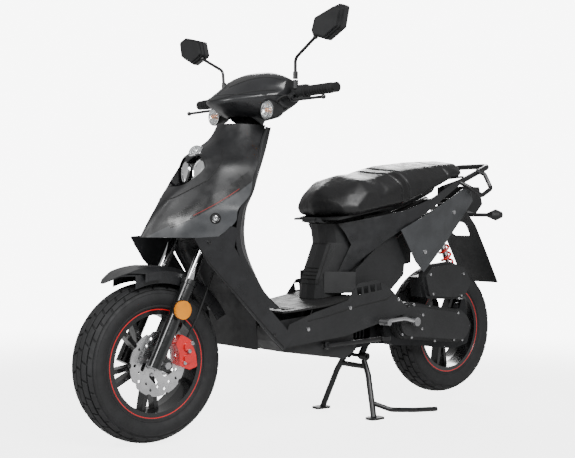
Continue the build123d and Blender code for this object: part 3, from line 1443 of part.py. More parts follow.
with BuildPart() as centre_stand:
    for side in (-1, 1):
        near = 38 if side > 0 else -62
        add_ring(across(STAND_X, near, STAND_Z), 13, STAND_PIN + RUN_GAP, 24)
        add_tube(
            [
                (STAND_X + 4, side * 50, STAND_Z - 12),
                (STAND_X + 10, side * 78, 140),
                (STAND_FOOT_X, side * STAND_FOOT_Y, FOOT_THICKNESS - 2),
            ],
            60,
            LEG_TUBE,
        )
        with BuildSketch(Plane.XY) as foot:
            with Locations((STAND_FOOT_X, side * (STAND_FOOT_Y + 6))):
                RectangleRounded(64, 40, 12)
        extrude(foot.sketch, amount=FOOT_THICKNESS)
    add_rod(across(STAND_X + 6, -66, 166), 9, 132)
    add_tube(
        [
            (STAND_FOOT_X - 6, STAND_FOOT_Y - 22, 52),
            (STAND_FOOT_X - 50, TANG_Y - 8, 30),
            (STAND_FOOT_X - 150, TANG_Y, 20),
            (STAND_TANG_X + 30, TANG_Y, 12),
        ],
        30,
        8,
    )
    with BuildSketch(Plane.XY) as floor:
        Rectangle(1200, 600)
    extrude(floor.sketch, amount=-60, mode=Mode.SUBTRACT)
save(centre_stand, "centre_stand")

SIDE_STAND_REACH = 270.0
SIDE_STAND_SPLAY = 28.0  # tilt of the side stand's hinge, degrees

with BuildPart() as side_stand:
    eye = (SIDE_STAND_X, SIDE_STAND_Y + 12, SIDE_STAND_Z)
    boss = Plane(origin=eye, x_dir=(1, 0, 0), z_dir=(0, cos(radians(SIDE_STAND_SPLAY)), sin(radians(SIDE_STAND_SPLAY))))
    add_rod(boss.offset(-5), 12, 10)
    add_tube(
        [
            eye,
            (SIDE_STAND_X - 60, SIDE_STAND_Y + 12, SIDE_STAND_Z + 3),
            (SIDE_STAND_X - SIDE_STAND_REACH + 16, SIDE_STAND_Y + 15, SIDE_STAND_Z + 9),
        ],
        60,
        7.5,
    )
    with BuildSketch(Plane.XY.offset(SIDE_STAND_Z + 2)) as pad:
        with Locations((SIDE_STAND_X - SIDE_STAND_REACH + 14, SIDE_STAND_Y + 16)):
            RectangleRounded(38, 30, 8)
    extrude(pad.sketch, amount=14)
save(side_stand, "side_stand")
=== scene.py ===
"""A moped scooter: finishes, soft parts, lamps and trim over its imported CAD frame."""

import sys

import json
import logging
import math
from collections.abc import Callable, Iterator, Sequence
from contextlib import contextmanager
from dataclasses import dataclass
from enum import Enum

import bmesh
import bpy
from mathutils import Matrix, Vector
from mathutils.bvhtree import BVHTree

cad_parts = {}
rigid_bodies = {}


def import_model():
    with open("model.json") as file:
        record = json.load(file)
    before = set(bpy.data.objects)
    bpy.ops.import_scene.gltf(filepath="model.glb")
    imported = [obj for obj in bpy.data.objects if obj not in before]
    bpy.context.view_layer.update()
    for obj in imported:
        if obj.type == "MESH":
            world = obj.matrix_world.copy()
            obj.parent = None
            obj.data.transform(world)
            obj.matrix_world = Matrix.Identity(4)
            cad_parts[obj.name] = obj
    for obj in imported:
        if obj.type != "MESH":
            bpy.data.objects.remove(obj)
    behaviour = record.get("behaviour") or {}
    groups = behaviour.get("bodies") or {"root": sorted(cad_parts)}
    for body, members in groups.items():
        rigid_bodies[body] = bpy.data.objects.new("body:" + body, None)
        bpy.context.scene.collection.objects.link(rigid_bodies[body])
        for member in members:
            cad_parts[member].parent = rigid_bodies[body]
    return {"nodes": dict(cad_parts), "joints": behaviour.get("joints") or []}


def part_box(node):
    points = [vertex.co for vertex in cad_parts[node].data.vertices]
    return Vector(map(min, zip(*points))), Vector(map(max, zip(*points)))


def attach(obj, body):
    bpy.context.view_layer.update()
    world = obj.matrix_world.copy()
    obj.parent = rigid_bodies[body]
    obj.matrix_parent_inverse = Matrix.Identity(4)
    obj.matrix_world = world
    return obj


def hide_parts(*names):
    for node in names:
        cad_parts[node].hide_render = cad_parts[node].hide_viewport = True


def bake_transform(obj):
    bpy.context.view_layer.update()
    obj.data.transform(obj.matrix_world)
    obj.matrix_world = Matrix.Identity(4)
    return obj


log = logging.getLogger("scooter")
Colour = tuple[float, float, float]
Flat = tuple[float, float]
Test = Callable[[Vector, Vector], bool]


class Side(Enum):
    """The rider's two sides of the scooter."""

    LEFT = 1
    RIGHT = -1

    @property
    def tag(self) -> str:
        """The side's name as pieces carry it."""
        return self.name.lower()


class Way(Enum):
    """The frame's directions."""

    FORWARD = (1.0, 0.0, 0.0)
    LEFT = (0.0, 1.0, 0.0)
    UP = (0.0, 0.0, 1.0)

    @property
    def vector(self) -> Vector:
        """The direction as a vector."""
        return Vector(self.value)


# ---------------------------------------------------------------- finishes


class Graph:
    """The node tree of one material while it is put together."""

    def __init__(self, name: str) -> None:
        """Starts a material with one shader.

        Args:
            name: the material's name.
        """
        self.material = bpy.data.materials.new(name)
        self.material.use_nodes = True
        tree = self.material.node_tree
        tree.nodes.clear()
        self.nodes, self.links = tree.nodes, tree.links
        output = self.node("ShaderNodeOutputMaterial")
        self.shader = self.node("ShaderNodeBsdfPrincipled")
        self.links.new(self.shader.outputs[0], output.inputs[0])
        self.place = self.node("ShaderNodeTexCoord").outputs["Object"]
        self.normal = None

    def node(self, kind: str, **settings: object) -> bpy.types.Node:
        """Adds a node.

        Args:
            kind: Blender's name for the node type.
            **settings: attributes to set on it.

        Returns:
            The node.
        """
        made = self.nodes.new(kind)
        for key, value in settings.items():
            setattr(made, key, value)
        return made

    def plug(self, socket: bpy.types.NodeSocket, value: object) -> None:
        """Links a socket, or sets its own value.

        Args:
            socket: the input.
            value: an output to link, or a number, colour or vector.
        """
        if isinstance(value, bpy.types.NodeSocket):
            self.links.new(value, socket)
        elif isinstance(value, tuple) and len(socket.default_value) == 4:
            socket.default_value = (*value, 1.0)
        else:
            socket.default_value = value

    def math(self, operation: str, *values: object) -> bpy.types.NodeSocket:
        """Adds a sum.

        Args:
            operation: the math node's operation.
            *values: its inputs.

        Returns:
            The result.
        """
        made = self.node("ShaderNodeMath", operation=operation)
        for socket, value in zip(made.inputs, values):
            self.plug(socket, value)
        return made.outputs[0]

    def stretched(
        self, scale: Flat | tuple[float, float, float], shift: tuple = (0.0, 0.0, 0.0)
    ) -> bpy.types.NodeSocket:
        """Object coordinates, moved and then stretched along the axes.

        Args:
            scale: factor along each axis.
            shift: what is taken off the coordinates first.

        Returns:
            The coordinates.
        """
        moved = self.node("ShaderNodeVectorMath", operation="SUBTRACT")
        self.links.new(self.place, moved.inputs[0])
        moved.inputs[1].default_value = shift
        scaled = self.node("ShaderNodeVectorMath", operation="MULTIPLY")
        self.links.new(moved.outputs[0], scaled.inputs[0])
        scaled.inputs[1].default_value = scale
        return scaled.outputs[0]

    def noise(self, scale: float, detail: float = 4.0, at: object = None) -> bpy.types.NodeSocket:
        """Cloudy noise.

        Args:
            scale: cycles to the metre.
            detail: octaves.
            at: coordinates, the object's own when left out.

        Returns:
            The noise, from 0 to 1.
        """
        made = self.node("ShaderNodeTexNoise")
        made.inputs["Scale"].default_value = scale
        made.inputs["Detail"].default_value = detail
        self.links.new(at or self.place, made.inputs["Vector"])
        return made.outputs[0]

    def cells(self, scale: float, feature: str = "F1", at: object = None) -> bpy.types.NodeSocket:
        """Cell distance, as in grained leather or cast metal.

        Args:
            scale: cells to the metre.
            feature: the Voronoi node's feature.
            at: coordinates, the object's own when left out.

        Returns:
            The distance.
        """
        made = self.node("ShaderNodeTexVoronoi", feature=feature)
        made.inputs["Scale"].default_value = scale
        self.links.new(at or self.place, made.inputs["Vector"])
        return made.outputs["Distance"]

    def spread(
        self, value: object, start: float, end: float, low: float, high: float
    ) -> bpy.types.NodeSocket:
        """Maps a range onto another, smoothly and clamped.

        Args:
            value: the input.
            start: its lower end.
            end: its upper end.
            low: result at the lower end.
            high: result at the upper end.

        Returns:
            The mapped value.
        """
        made = self.node("ShaderNodeMapRange", interpolation_type="SMOOTHSTEP")
        for socket, given in zip(made.inputs, (value, start, end, low, high)):
            self.plug(socket, given)
        return made.outputs[0]

    def mix(self, share: object, first: object, second: object) -> bpy.types.NodeSocket:
        """Mixes two colours.

        Args:
            share: how much of the second.
            first: colour at 0.
            second: colour at 1.

        Returns:
            The mixed colour.
        """
        made = self.node("ShaderNodeMix", data_type="RGBA")
        self.plug(made.inputs[0], share)
        self.plug(made.inputs[6], first)
        self.plug(made.inputs[7], second)
        return made.outputs[2]

    def bump(self, height: object, distance: float) -> None:
        """Adds relief over what is there.

        Args:
            height: the height, from 0 to 1.
            distance: its full height in metres.
        """
        made = self.node("ShaderNodeBump")
        made.inputs["Distance"].default_value = distance
        self.plug(made.inputs["Height"], height)
        if self.normal is not None:
            self.links.new(self.normal, made.inputs["Normal"])
        self.normal = made.outputs[0]

    def done(self, colour: object, roughness: object) -> bpy.types.Material:
        """Links colour, roughness and relief to the shader.

        Args:
            colour: base colour.
            roughness: roughness.

        Returns:
            The material.
        """
        self.plug(self.shader.inputs["Base Color"], colour)
        self.plug(self.shader.inputs["Roughness"], roughness)
        if self.normal is not None:
            self.links.new(self.normal, self.shader.inputs["Normal"])
        return self.material


def shade(colour: Colour, factor: float) -> Colour:
    """The colour, lighter or darker by a factor."""
    return tuple(min(1.0, channel * factor) for channel in colour)


@dataclass(frozen=True)
class Finish:
    """A moulded or painted surface with mottled colour, uneven gloss and fine grain.

    Attributes:
        name: the material's name.
        colour: its base colour.
        roughness: its mean roughness.
        metallic: 1 for bare metal.
        coat: clear coat weight.
        mottle: share by which the colour varies.
        mottle_scale: blotches to the metre.
        grain: grains to the metre.
        relief: height of the grain in metres.
        haze: how far the roughness varies.
    """

    name: str
    colour: Colour
    roughness: float = 0.5
    metallic: float = 0.0
    coat: float = 0.0
    mottle: float = 0.16
    mottle_scale: float = 14.0
    grain: float = 1500.0
    relief: float = 0.00004
    haze: float = 0.07

    def tint(self, graph: Graph) -> bpy.types.NodeSocket:
        """The mottled colour."""
        cloud = graph.spread(graph.noise(self.mottle_scale), 0.35, 0.65, 0.0, 1.0)
        broad = graph.mix(cloud, shade(self.colour, 1 - self.mottle), shade(self.colour, 1 + self.mottle))
        speck = graph.spread(graph.noise(self.grain * 0.4, 2.0), 0.45, 0.75, 0.0, 0.35)
        return graph.mix(speck, broad, shade(self.colour, 1 + 2 * self.mottle))

    def gloss(self, graph: Graph) -> bpy.types.NodeSocket:
        """The uneven roughness."""
        worn = graph.noise(38.0, 6.0)
        return graph.spread(worn, 0.3, 0.7, max(0.02, self.roughness - self.haze), self.roughness + self.haze)

    def texture(self, graph: Graph) -> None:
        """The fine grain."""
        graph.bump(graph.noise(self.grain, 3.0), self.relief)

    def build(self) -> bpy.types.Material:
        """Makes the material.

        Returns:
            The material.
        """
        graph = Graph(self.name)
        graph.shader.inputs["Metallic"].default_value = self.metallic
        graph.shader.inputs["Coat Weight"].default_value = self.coat
        graph.shader.inputs["Coat Roughness"].default_value = 0.12
        self.texture(graph)
        return graph.done(self.tint(graph), self.gloss(graph))


@dataclass(frozen=True)
class Stippled(Finish):
    """Moulded plastic with a pebbled mould grain."""

    def texture(self, graph: Graph) -> None:
        """Pebbles under a fine roughness."""
        graph.bump(graph.cells(self.grain * 0.45, "SMOOTH_F1"), self.relief * 3)
        graph.bump(graph.noise(self.grain, 4.0), self.relief)


@dataclass(frozen=True)
class Bodywork(Finish):
    """Body plastic whose lower apron is moulded in a lighter grey.

    Attributes:
        apron: colour of the apron.
        edge: a point of the dividing line, forward and up.
        fall: how far the line falls for each metre forward.
    """

    apron: Colour = (0.036, 0.038, 0.041)
    edge: Flat = (0.388, 0.776)
    fall: float = 0.631

    def tint(self, graph: Graph) -> bpy.types.NodeSocket:
        """The mottled colour above the line and the apron's colour below it."""
        split = graph.node("ShaderNodeSeparateXYZ")
        graph.links.new(graph.place, split.inputs[0])
        slope = graph.math("MULTIPLY", split.outputs[0], self.fall)
        height = graph.math("ADD", split.outputs[2], slope)
        level = self.edge[1] + self.fall * self.edge[0]
        above = graph.spread(height, level - 0.0008, level + 0.0008, 0.0, 1.0)
        cloud = graph.spread(graph.noise(self.mottle_scale), 0.35, 0.65, 0.0, 1.0)
        low = graph.mix(cloud, shade(self.apron, 1 - self.mottle), shade(self.apron, 1 + self.mottle))
        return graph.mix(above, low, super().tint(graph))


@dataclass(frozen=True)
class Vinyl(Finish):
    """Seat vinyl: leather grain with fine creases."""

    def texture(self, graph: Graph) -> None:
        """Pebbles, the valleys between them, and a few long creases."""
        graph.bump(graph.noise(95.0, 5.0), 0.0006)
        graph.bump(graph.cells(self.grain * 0.5, "DISTANCE_TO_EDGE"), self.relief * 6)
        graph.bump(graph.noise(self.grain, 3.0), self.relief)


@dataclass(frozen=True)
class Brushed(Finish):
    """Metal brushed in rings about an axle.

    Attributes:
        centre: a point of the axle, which lies across the scooter.
    """

    centre: tuple[float, float, float] = (0.0, 0.0, 0.0)

    def texture(self, graph: Graph) -> None:
        """Rings of scratches."""
        flat = graph.stretched((1.0, 0.0, 1.0), self.centre)
        length = graph.node("ShaderNodeVectorMath", operation="LENGTH")
        graph.links.new(flat, length.inputs[0])
        rings = graph.node("ShaderNodeCombineXYZ")
        graph.links.new(length.outputs["Value"], rings.inputs[0])
        graph.bump(graph.noise(self.grain, 6.0, rings.outputs[0]), self.relief)
        graph.bump(graph.noise(220.0, 4.0), self.relief)


@dataclass(frozen=True)
class Cast(Finish):
    """Sand-cast metal, rough and pitted."""

    def texture(self, graph: Graph) -> None:
        """Casting skin with pits."""
        graph.bump(graph.noise(60.0, 6.0), 0.0005)
        graph.bump(graph.cells(520.0), self.relief * 4)
        graph.bump(graph.noise(self.grain, 5.0), self.relief * 2)


@dataclass(frozen=True)
class Tread(Finish):
    """Tyre rubber with a dusty bloom and fine mould lines."""

    def tint(self, graph: Graph) -> bpy.types.NodeSocket:
        """Rubber with paler dusty patches."""
        bloom = graph.spread(graph.noise(26.0, 7.0), 0.42, 0.72, 0.0, 0.55)
        return graph.mix(bloom, super().tint(graph), shade(self.colour, 1.9))

    def texture(self, graph: Graph) -> None:
        """Skin and mould lines."""
        graph.bump(graph.noise(140.0, 6.0), 0.0004)
        graph.bump(graph.noise(self.grain, 4.0), self.relief)


@dataclass(frozen=True)
class Lens(Finish):
    """A clear or tinted moulded lens.

    Attributes:
        clear: how much light passes, from 0 to 1.
        flutes: ribs to the metre.
        flute_depth: height of a rib in metres.
    """

    clear: float = 0.9
    flutes: float = 0.0
    flute_depth: float = 0.0006

    def texture(self, graph: Graph) -> None:
        """Upright flutes and a faint moulding wave."""
        if self.flutes:
            wave = graph.node("ShaderNodeTexWave", bands_direction="Y")
            wave.inputs["Scale"].default_value = self.flutes
            graph.links.new(graph.place, wave.inputs["Vector"])
            graph.bump(wave.outputs["Fac"], self.flute_depth)
        graph.bump(graph.noise(120.0, 2.0), 0.0001)

    def build(self) -> bpy.types.Material:
        """Makes the lens material.

        Returns:
            The material.
        """
        material = super().build()
        shader = next(node for node in material.node_tree.nodes if node.type == "BSDF_PRINCIPLED")
        shader.inputs["Transmission Weight"].default_value = self.clear
        shader.inputs["IOR"].default_value = 1.49
        return material


class Finishes:
    """The scooter's finishes, each built once."""

    BODY = Bodywork("satin_body", (0.0075, 0.0077, 0.0085), 0.36, coat=0.12, relief=0.00002)
    PANEL = Finish("satin_panel", (0.011, 0.0113, 0.0124), 0.34, coat=0.12, relief=0.00002)
    NECK = Finish("grey_neck", (0.03, 0.0315, 0.0335), 0.36, coat=0.1, relief=0.00002)
    TAIL = Finish("grey_tail", (0.035, 0.037, 0.0395), 0.38, coat=0.1, relief=0.00002)
    GRAINED = Stippled("grained_plastic", (0.0105, 0.0108, 0.0115), 0.5)
    GLOSS = Finish("gloss_black", (0.003, 0.003, 0.0035), 0.12, coat=0.7, relief=0.00001, haze=0.03)
    GAP = Finish("dark_gap", (0.0015, 0.0015, 0.0015), 0.7)
    POWDER = Stippled("powder_coat", (0.006, 0.006, 0.0065), 0.34, relief=0.00003)
    FORK = Finish("fork_enamel", (0.006, 0.0063, 0.0067), 0.22, coat=0.5, relief=0.00001)
    WHEEL = Finish("wheel_enamel", (0.005, 0.005, 0.0055), 0.26, coat=0.4, relief=0.00002)
    RUBBER = Tread("tyre_rubber", (0.0055, 0.0057, 0.0063), 0.74)
    GRIP = Stippled("grip_rubber", (0.006, 0.006, 0.0065), 0.6)
    MAT = Stippled("floor_rubber", (0.0065, 0.0065, 0.0067), 0.58, relief=0.00008)
    SEAT = Vinyl("seat_vinyl", (0.005, 0.005, 0.0054), 0.46, grain=900.0)
    BAND = Vinyl("seat_band_vinyl", (0.003, 0.003, 0.0032), 0.36, grain=1300.0)
    THREAD = Finish("seat_thread", (0.025, 0.025, 0.0265), 0.7, grain=3000.0)
    CHROME = Finish("chrome", (0.78, 0.79, 0.8), 0.08, 1.0, relief=0.000005, haze=0.04)
    STEEL = Finish("zinc_steel", (0.52, 0.52, 0.53), 0.28, 1.0, relief=0.00001)
    ALLOY = Cast("cast_alloy", (0.025, 0.0255, 0.027), 0.42, 0.85, relief=0.00003)
    LEVER = Finish("lever_black", (0.008, 0.008, 0.0085), 0.3, coat=0.3, relief=0.00001)
    RED = Finish("red_enamel", (0.62, 0.012, 0.014), 0.26, coat=0.5, relief=0.00002)
    STRIPE = Finish("stripe_red", (0.2, 0.012, 0.01), 0.42, relief=0.00001)
    SPRING = Finish("spring_red", (0.5, 0.012, 0.012), 0.3, coat=0.4, relief=0.00002)
    PIPE = Cast("heat_black", (0.006, 0.006, 0.006), 0.5, 0.3)
    CLEAR = Lens("clear_lens", (0.95, 0.97, 0.98), 0.03, haze=0.01, mottle=0.02)
    FACET = Finish("lamp_facets", (0.86, 0.88, 0.9), 0.1, 0.9, haze=0.05, relief=0.00001, coat=0.6)
    AMBER = Lens("amber_lens", (0.95, 0.33, 0.012), 0.12, clear=0.35, mottle=0.12, flutes=90.0)
    BULB = Finish("amber_bulb", (0.85, 0.25, 0.02), 0.2, coat=0.5)
    TAIL_RED = Lens("red_lens", (0.55, 0.008, 0.01), 0.1, clear=0.4, mottle=0.1, flutes=55.0)
    MIRROR = Finish("mirror_silver", (0.8, 0.82, 0.83), 0.02, 1.0, haze=0.01, relief=0.000002)
    DIAL = Finish("dial_face", (0.005, 0.005, 0.0055), 0.5)
    MARKS = Finish("dial_marks", (0.75, 0.75, 0.72), 0.5)
    _made: dict[str, bpy.types.Material] = {}

    @staticmethod
    def disc(centre: Vector) -> Finish:
        """Brake disc steel, brushed about a wheel's axle."""
        return Brushed(
            "disc_steel", (0.62, 0.62, 0.63), 0.24, 1.0, grain=4200.0, relief=0.00002, centre=tuple(centre)
        )

    @classmethod
    def get(cls, finish: Finish) -> bpy.types.Material:
        """The finish's material, made on first use."""
        if finish.name not in cls._made:
            cls._made[finish.name] = finish.build()
        return cls._made[finish.name]


# ---------------------------------------------------------------- modelling


def start() -> None:
    """Leaves edit mode with everything deselected."""
    if bpy.context.mode != "OBJECT":
        bpy.ops.object.mode_set(mode="OBJECT")
    bpy.ops.object.select_all(action="DESELECT")


def hold(piece: bpy.types.Object) -> None:
    """Selects one piece and makes it active."""
    start()
    piece.select_set(True)
    bpy.context.view_layer.objects.active = piece


def named(name: str) -> bpy.types.Object:
    """Names the object just added.

    Args:
        name: its name.

    Returns:
        The object.
    """
    made = bpy.context.object
    made.name = name
    made.data.name = name
    return made


@contextmanager
def shaping(piece: bpy.types.Object, picks: str = "FACE") -> Iterator[None]:
    """Edit mode on a piece, with nothing of it selected.

    Args:
        piece: the piece.
        picks: VERT, EDGE or FACE.
    """
    hold(piece)
    bpy.ops.object.mode_set(mode="EDIT")
    bpy.ops.mesh.select_mode(type=picks)
    bpy.ops.mesh.select_all(action="DESELECT")
    yield
    bpy.ops.object.mode_set(mode="OBJECT")


def pick(piece: bpy.types.Object, test: Test) -> int:
    """Selects faces by place and normal, in edit mode.

    Args:
        piece: the piece.
        test: says of a face's centre and normal whether it is picked.

    Returns:
        How many faces are picked.
    """
    mesh = bmesh.from_edit_mesh(piece.data)
    for face in mesh.faces:
        face.select_set(bool(test(face.calc_center_median(), face.normal)))
    bmesh.update_edit_mesh(piece.data)
    return sum(face.select for face in mesh.faces)


def apply_all(piece: bpy.types.Object) -> bpy.types.Object:
    """Applies a piece's modifiers and moves its place into its mesh.

    Args:
        piece: the piece.

    Returns:
        The piece.
    """
    hold(piece)
    for modifier in list(piece.modifiers):
        bpy.ops.object.modifier_apply(modifier=modifier.name)
    bpy.ops.object.transform_apply(location=True, rotation=True, scale=True)
    return piece


def modify(piece: bpy.types.Object, kind: str, **settings: object) -> bpy.types.Object:
    """Adds one modifier and applies it.

    Args:
        piece: the piece.
        kind: the modifier's type.
        **settings: its attributes.

    Returns:
        The piece.
    """
    added = piece.modifiers.new(kind.lower(), kind)
    for key, value in settings.items():
        setattr(added, key, value)
    return apply_all(piece)


def face_out(piece: bpy.types.Object) -> bpy.types.Object:
    """Merges doubles and turns every face outwards.

    Args:
        piece: a closed piece.

    Returns:
        The piece.
    """
    with shaping(piece, "VERT"):
        bpy.ops.mesh.select_all(action="SELECT")
        bpy.ops.mesh.remove_doubles(threshold=0.00002)
        bpy.ops.mesh.normals_make_consistent(inside=False)
    return piece


def soften(piece: bpy.types.Object, angle: float = 35.0) -> bpy.types.Object:
    """Smooth shading up to an angle in degrees."""
    hold(piece)
    bpy.ops.object.shade_smooth_by_angle(angle=math.radians(angle))
    return piece


def dress(
    piece: bpy.types.Object, finish: Finish, body: str, angle: float = 35.0
) -> bpy.types.Object:
    """Gives a finished piece its shading, finish and body.

    Args:
        piece: the piece, whose place is in its mesh.
        finish: its finish.
        body: the CAD body that it rides on.
        angle: sharpest angle that is shaded smooth, in degrees.

    Returns:
        The piece.
    """
    soften(piece, angle)
    piece.data.materials.clear()
    piece.data.materials.append(Finishes.get(finish))
    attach(piece, body)
    return piece


def turned(direction: Vector) -> Matrix:
    """The turn that takes +Z to a direction."""
    return direction.to_track_quat("Z", "Y").to_matrix().to_4x4()


def draw_line(name: str, points: Sequence[Vector]) -> bpy.types.Object:
    """A chain of edges drawn by extruding a vertex from point to point.

    Args:
        name: the piece's name.
        points: the corners.

    Returns:
        The piece.
    """
    start()
    bpy.ops.mesh.primitive_plane_add(size=0.001, location=points[0])
    made = apply_all(named(name))
    with shaping(made, "VERT"):
        bpy.ops.mesh.select_all(action="SELECT")
        bpy.ops.mesh.merge(type="CENTER")
        for before, after in zip(points, points[1:]):
            bpy.ops.mesh.extrude_vertices_move(TRANSFORM_OT_translate={"value": after - before})
    return made


def lathe(
    name: str, profile: Sequence[Flat], centre: Vector, axis: Vector, steps: int = 48, closed: bool = False
) -> bpy.types.Object:
    """Spins a profile of radius and height about an axis.

    Args:
        name: the piece's name.
        profile: radius and height along the axis of each corner.
        centre: the point of the axis at height 0.
        axis: its direction.
        steps: steps round.
        closed: whether the profile closes on itself.

    Returns:
        The piece.
    """
    axis = axis.normalized()
    out = axis.orthogonal().normalized()
    corners = [centre + out * radius + axis * height for radius, height in profile]
    if closed:
        corners.append(corners[0])
    made = draw_line(name, corners)
    with shaping(made, "VERT"):
        bpy.ops.mesh.select_all(action="SELECT")
        bpy.ops.mesh.spin(steps=steps, angle=math.tau, center=centre, axis=axis)
    return face_out(made)


def slab(name: str, corners: Sequence[Vector], depth: Vector, bevel: float = 0.0006) -> bpy.types.Object:
    """A flat plate: an outline filled, extruded and bevelled.

    Args:
        name: the piece's name.
        corners: the outline, in order.
        depth: how far and which way it is extruded.
        bevel: width of the edge bevel.

    Returns:
        The piece.
    """
    made = draw_line(name, [*corners, corners[0]])
    with shaping(made, "VERT"):
        bpy.ops.mesh.select_all(action="SELECT")
        bpy.ops.mesh.remove_doubles(threshold=0.00002)
        bpy.ops.mesh.edge_face_add()
        bpy.ops.mesh.extrude_region_move(TRANSFORM_OT_translate={"value": depth})
    face_out(made)
    if bevel:
        modify(made, "BEVEL", width=bevel, segments=2, limit_method="ANGLE", angle_limit=math.radians(40))
    return made


def rod(
    name: str, low: Vector, high: Vector, radius: float, sides: int = 24, lip: float = 0.12
) -> bpy.types.Object:
    """A round bar with bevelled ends.

    Args:
        name: the piece's name.
        low: centre of one end.
        high: centre of the other.
        radius: its radius.
        sides: sides round.
        lip: bevel of the ends, as a share of the radius.

    Returns:
        The piece.
    """
    start()
    along = high - low
    bpy.ops.mesh.primitive_cylinder_add(vertices=sides, radius=radius, depth=along.length)
    made = named(name)
    made.matrix_world = Matrix.Translation((low + high) / 2) @ turned(along)
    apply_all(made)
    way = along.normalized()
    with shaping(made):
        pick(made, lambda _, normal: abs(normal.dot(way)) > 0.9)
        bpy.ops.mesh.bevel(offset=radius * lip, segments=2, affect="EDGES")
    return made


def tube(
    name: str, points: Sequence[Vector], radius: float, sides: int = 4, order: int = 3
) -> bpy.types.Object:
    """A smooth tube along a NURBS line.

    Args:
        name: the piece's name.
        points: its control points.
        radius: its radius.
        sides: resolution of its round.
        order: the spline's order.

    Returns:
        The piece, a mesh.
    """
    data = bpy.data.curves.new(name, "CURVE")
    data.dimensions = "3D"
    spline = data.splines.new("NURBS")
    spline.points.add(len(points) - 1)
    for place, point in zip(spline.points, points):
        place.co = (*point, 1.0)
    spline.order_u = order
    spline.use_endpoint_u = True
    spline.resolution_u = 6
    data.bevel_depth = radius
    data.bevel_resolution = sides
    data.use_fill_caps = True
    made = bpy.data.objects.new(name, data)
    bpy.context.scene.collection.objects.link(made)
    hold(made)
    bpy.ops.object.convert(target="MESH")
    made = bpy.context.object
    made.data.name = name
    return face_out(made)


def join(name: str, parts: Sequence[bpy.types.Object]) -> bpy.types.Object:
    """Joins pieces into the first.

    Args:
        name: name of the result.
        parts: the pieces.

    Returns:
        The joined piece.
    """
    hold(parts[0])
    for part in parts[1:]:
        part.select_set(True)
    if len(parts) > 1:
        bpy.ops.object.join()
    return named(name)


def copies(pattern: bpy.types.Object, turns: Sequence[Matrix]) -> list[bpy.types.Object]:
    """Copies a modelled piece, each copy with its own mesh.

    Args:
        pattern: what is copied; it stays as it is.
        turns: each copy's move from the pattern's place.

    Returns:
        The copies.
    """
    made = []
    for turn in turns:
        hold(pattern)
        bpy.ops.object.duplicate(linked=False)
        copy = bpy.context.object
        copy.matrix_world = turn @ pattern.matrix_world
        made.append(apply_all(copy))
    return made


def bolts(
    name: str, places: Sequence[tuple[Vector, Vector]], radius: float, height: float, hexed: bool = False
) -> bpy.types.Object:
    """Screw heads with a washer and a socket.

    Args:
        name: the piece's name.
        places: where each head sits, and which way it faces.
        radius: radius of a head.
        height: its height.
        hexed: whether heads are hexagons.

    Returns:
        The heads, joined.
    """
    start()
    bpy.ops.mesh.primitive_cylinder_add(
        vertices=6 if hexed else 18, radius=radius, depth=height, location=(0, 0, height / 2)
    )
    pattern = apply_all(named(name + "_pattern"))
    with shaping(pattern):
        pick(pattern, lambda _, normal: normal.z > 0.9)
        bpy.ops.mesh.inset(thickness=radius * 0.18, depth=height * 0.14)
        bpy.ops.mesh.inset(thickness=radius * 0.3)
        bpy.ops.mesh.inset(thickness=radius * 0.08, depth=-height * 0.4)
        pick(pattern, lambda _, normal: normal.z < -0.9)
        bpy.ops.mesh.inset(thickness=-radius * 0.28)
        bpy.ops.mesh.extrude_region_move(TRANSFORM_OT_translate={"value": (0, 0, -height * 0.25)})
    made = copies(pattern, [Matrix.Translation(place) @ turned(facing) for place, facing in places])
    bpy.data.objects.remove(pattern)
    return face_out(join(name, made))


class Skin:
    """The outside of some CAD nodes, to lay trim on."""

    def __init__(self, *nodes: str) -> None:
        """Merges the nodes' triangles into one tree.

        Args:
            *nodes: names of the nodes.
        """
        points: list[Vector] = []
        faces: list[tuple[int, ...]] = []
        for name in nodes:
            mesh = bpy.data.objects[name].data
            shift = len(points)
            points += [vertex.co.copy() for vertex in mesh.vertices]
            faces += [tuple(index + shift for index in polygon.vertices) for polygon in mesh.polygons]
        self.tree = BVHTree.FromPolygons(points, faces)

    def meet(self, point: Vector, way: Vector, lift: float = 0.0) -> tuple[Vector, Vector] | None:
        """Where a ray first meets the skin.

        Args:
            point: where the ray starts, outside.
            way: its direction.
            lift: how far off the skin the answer is.

        Returns:
            The point and the skin's normal there, or None.
        """
        hit, normal, _, _ = self.tree.ray_cast(point, way)
        if hit is None:
            return None
        if normal.dot(way) > 0:
            normal = -normal
        return hit + normal * lift, normal

    def from_side(self, side: Side, x: float, z: float, lift: float = 0.0) -> tuple[Vector, Vector] | None:
        """Where the skin is, seen from one side.

        Args:
            side: the side.
            x: how far forward.
            z: how high.
            lift: how far off the skin.

        Returns:
            The point and normal, or None.
        """
        return self.meet(Vector((x, side.value, z)), Vector((0, -side.value, 0)), lift)

    def line(self, side: Side, points: Sequence[Flat], lift: float = 0.0, parts: int = 8) -> list[Vector]:
        """A line drawn on the skin through side-view points.

        Args:
            side: the side it is drawn from.
            points: forward and up of each corner.
            lift: how far off the skin.
            parts: steps from one corner to the next.

        Returns:
            Its points.
        """
        found = []
        for (x0, z0), (x1, z1) in zip(points, points[1:]):
            for step in range(parts):
                share = step / parts
                met = self.from_side(side, x0 + (x1 - x0) * share, z0 + (z1 - z0) * share, lift)
                if met:
                    found.append(met[0])
        last = self.from_side(side, *points[-1], lift)
        if last:
            found.append(last[0])
        return found


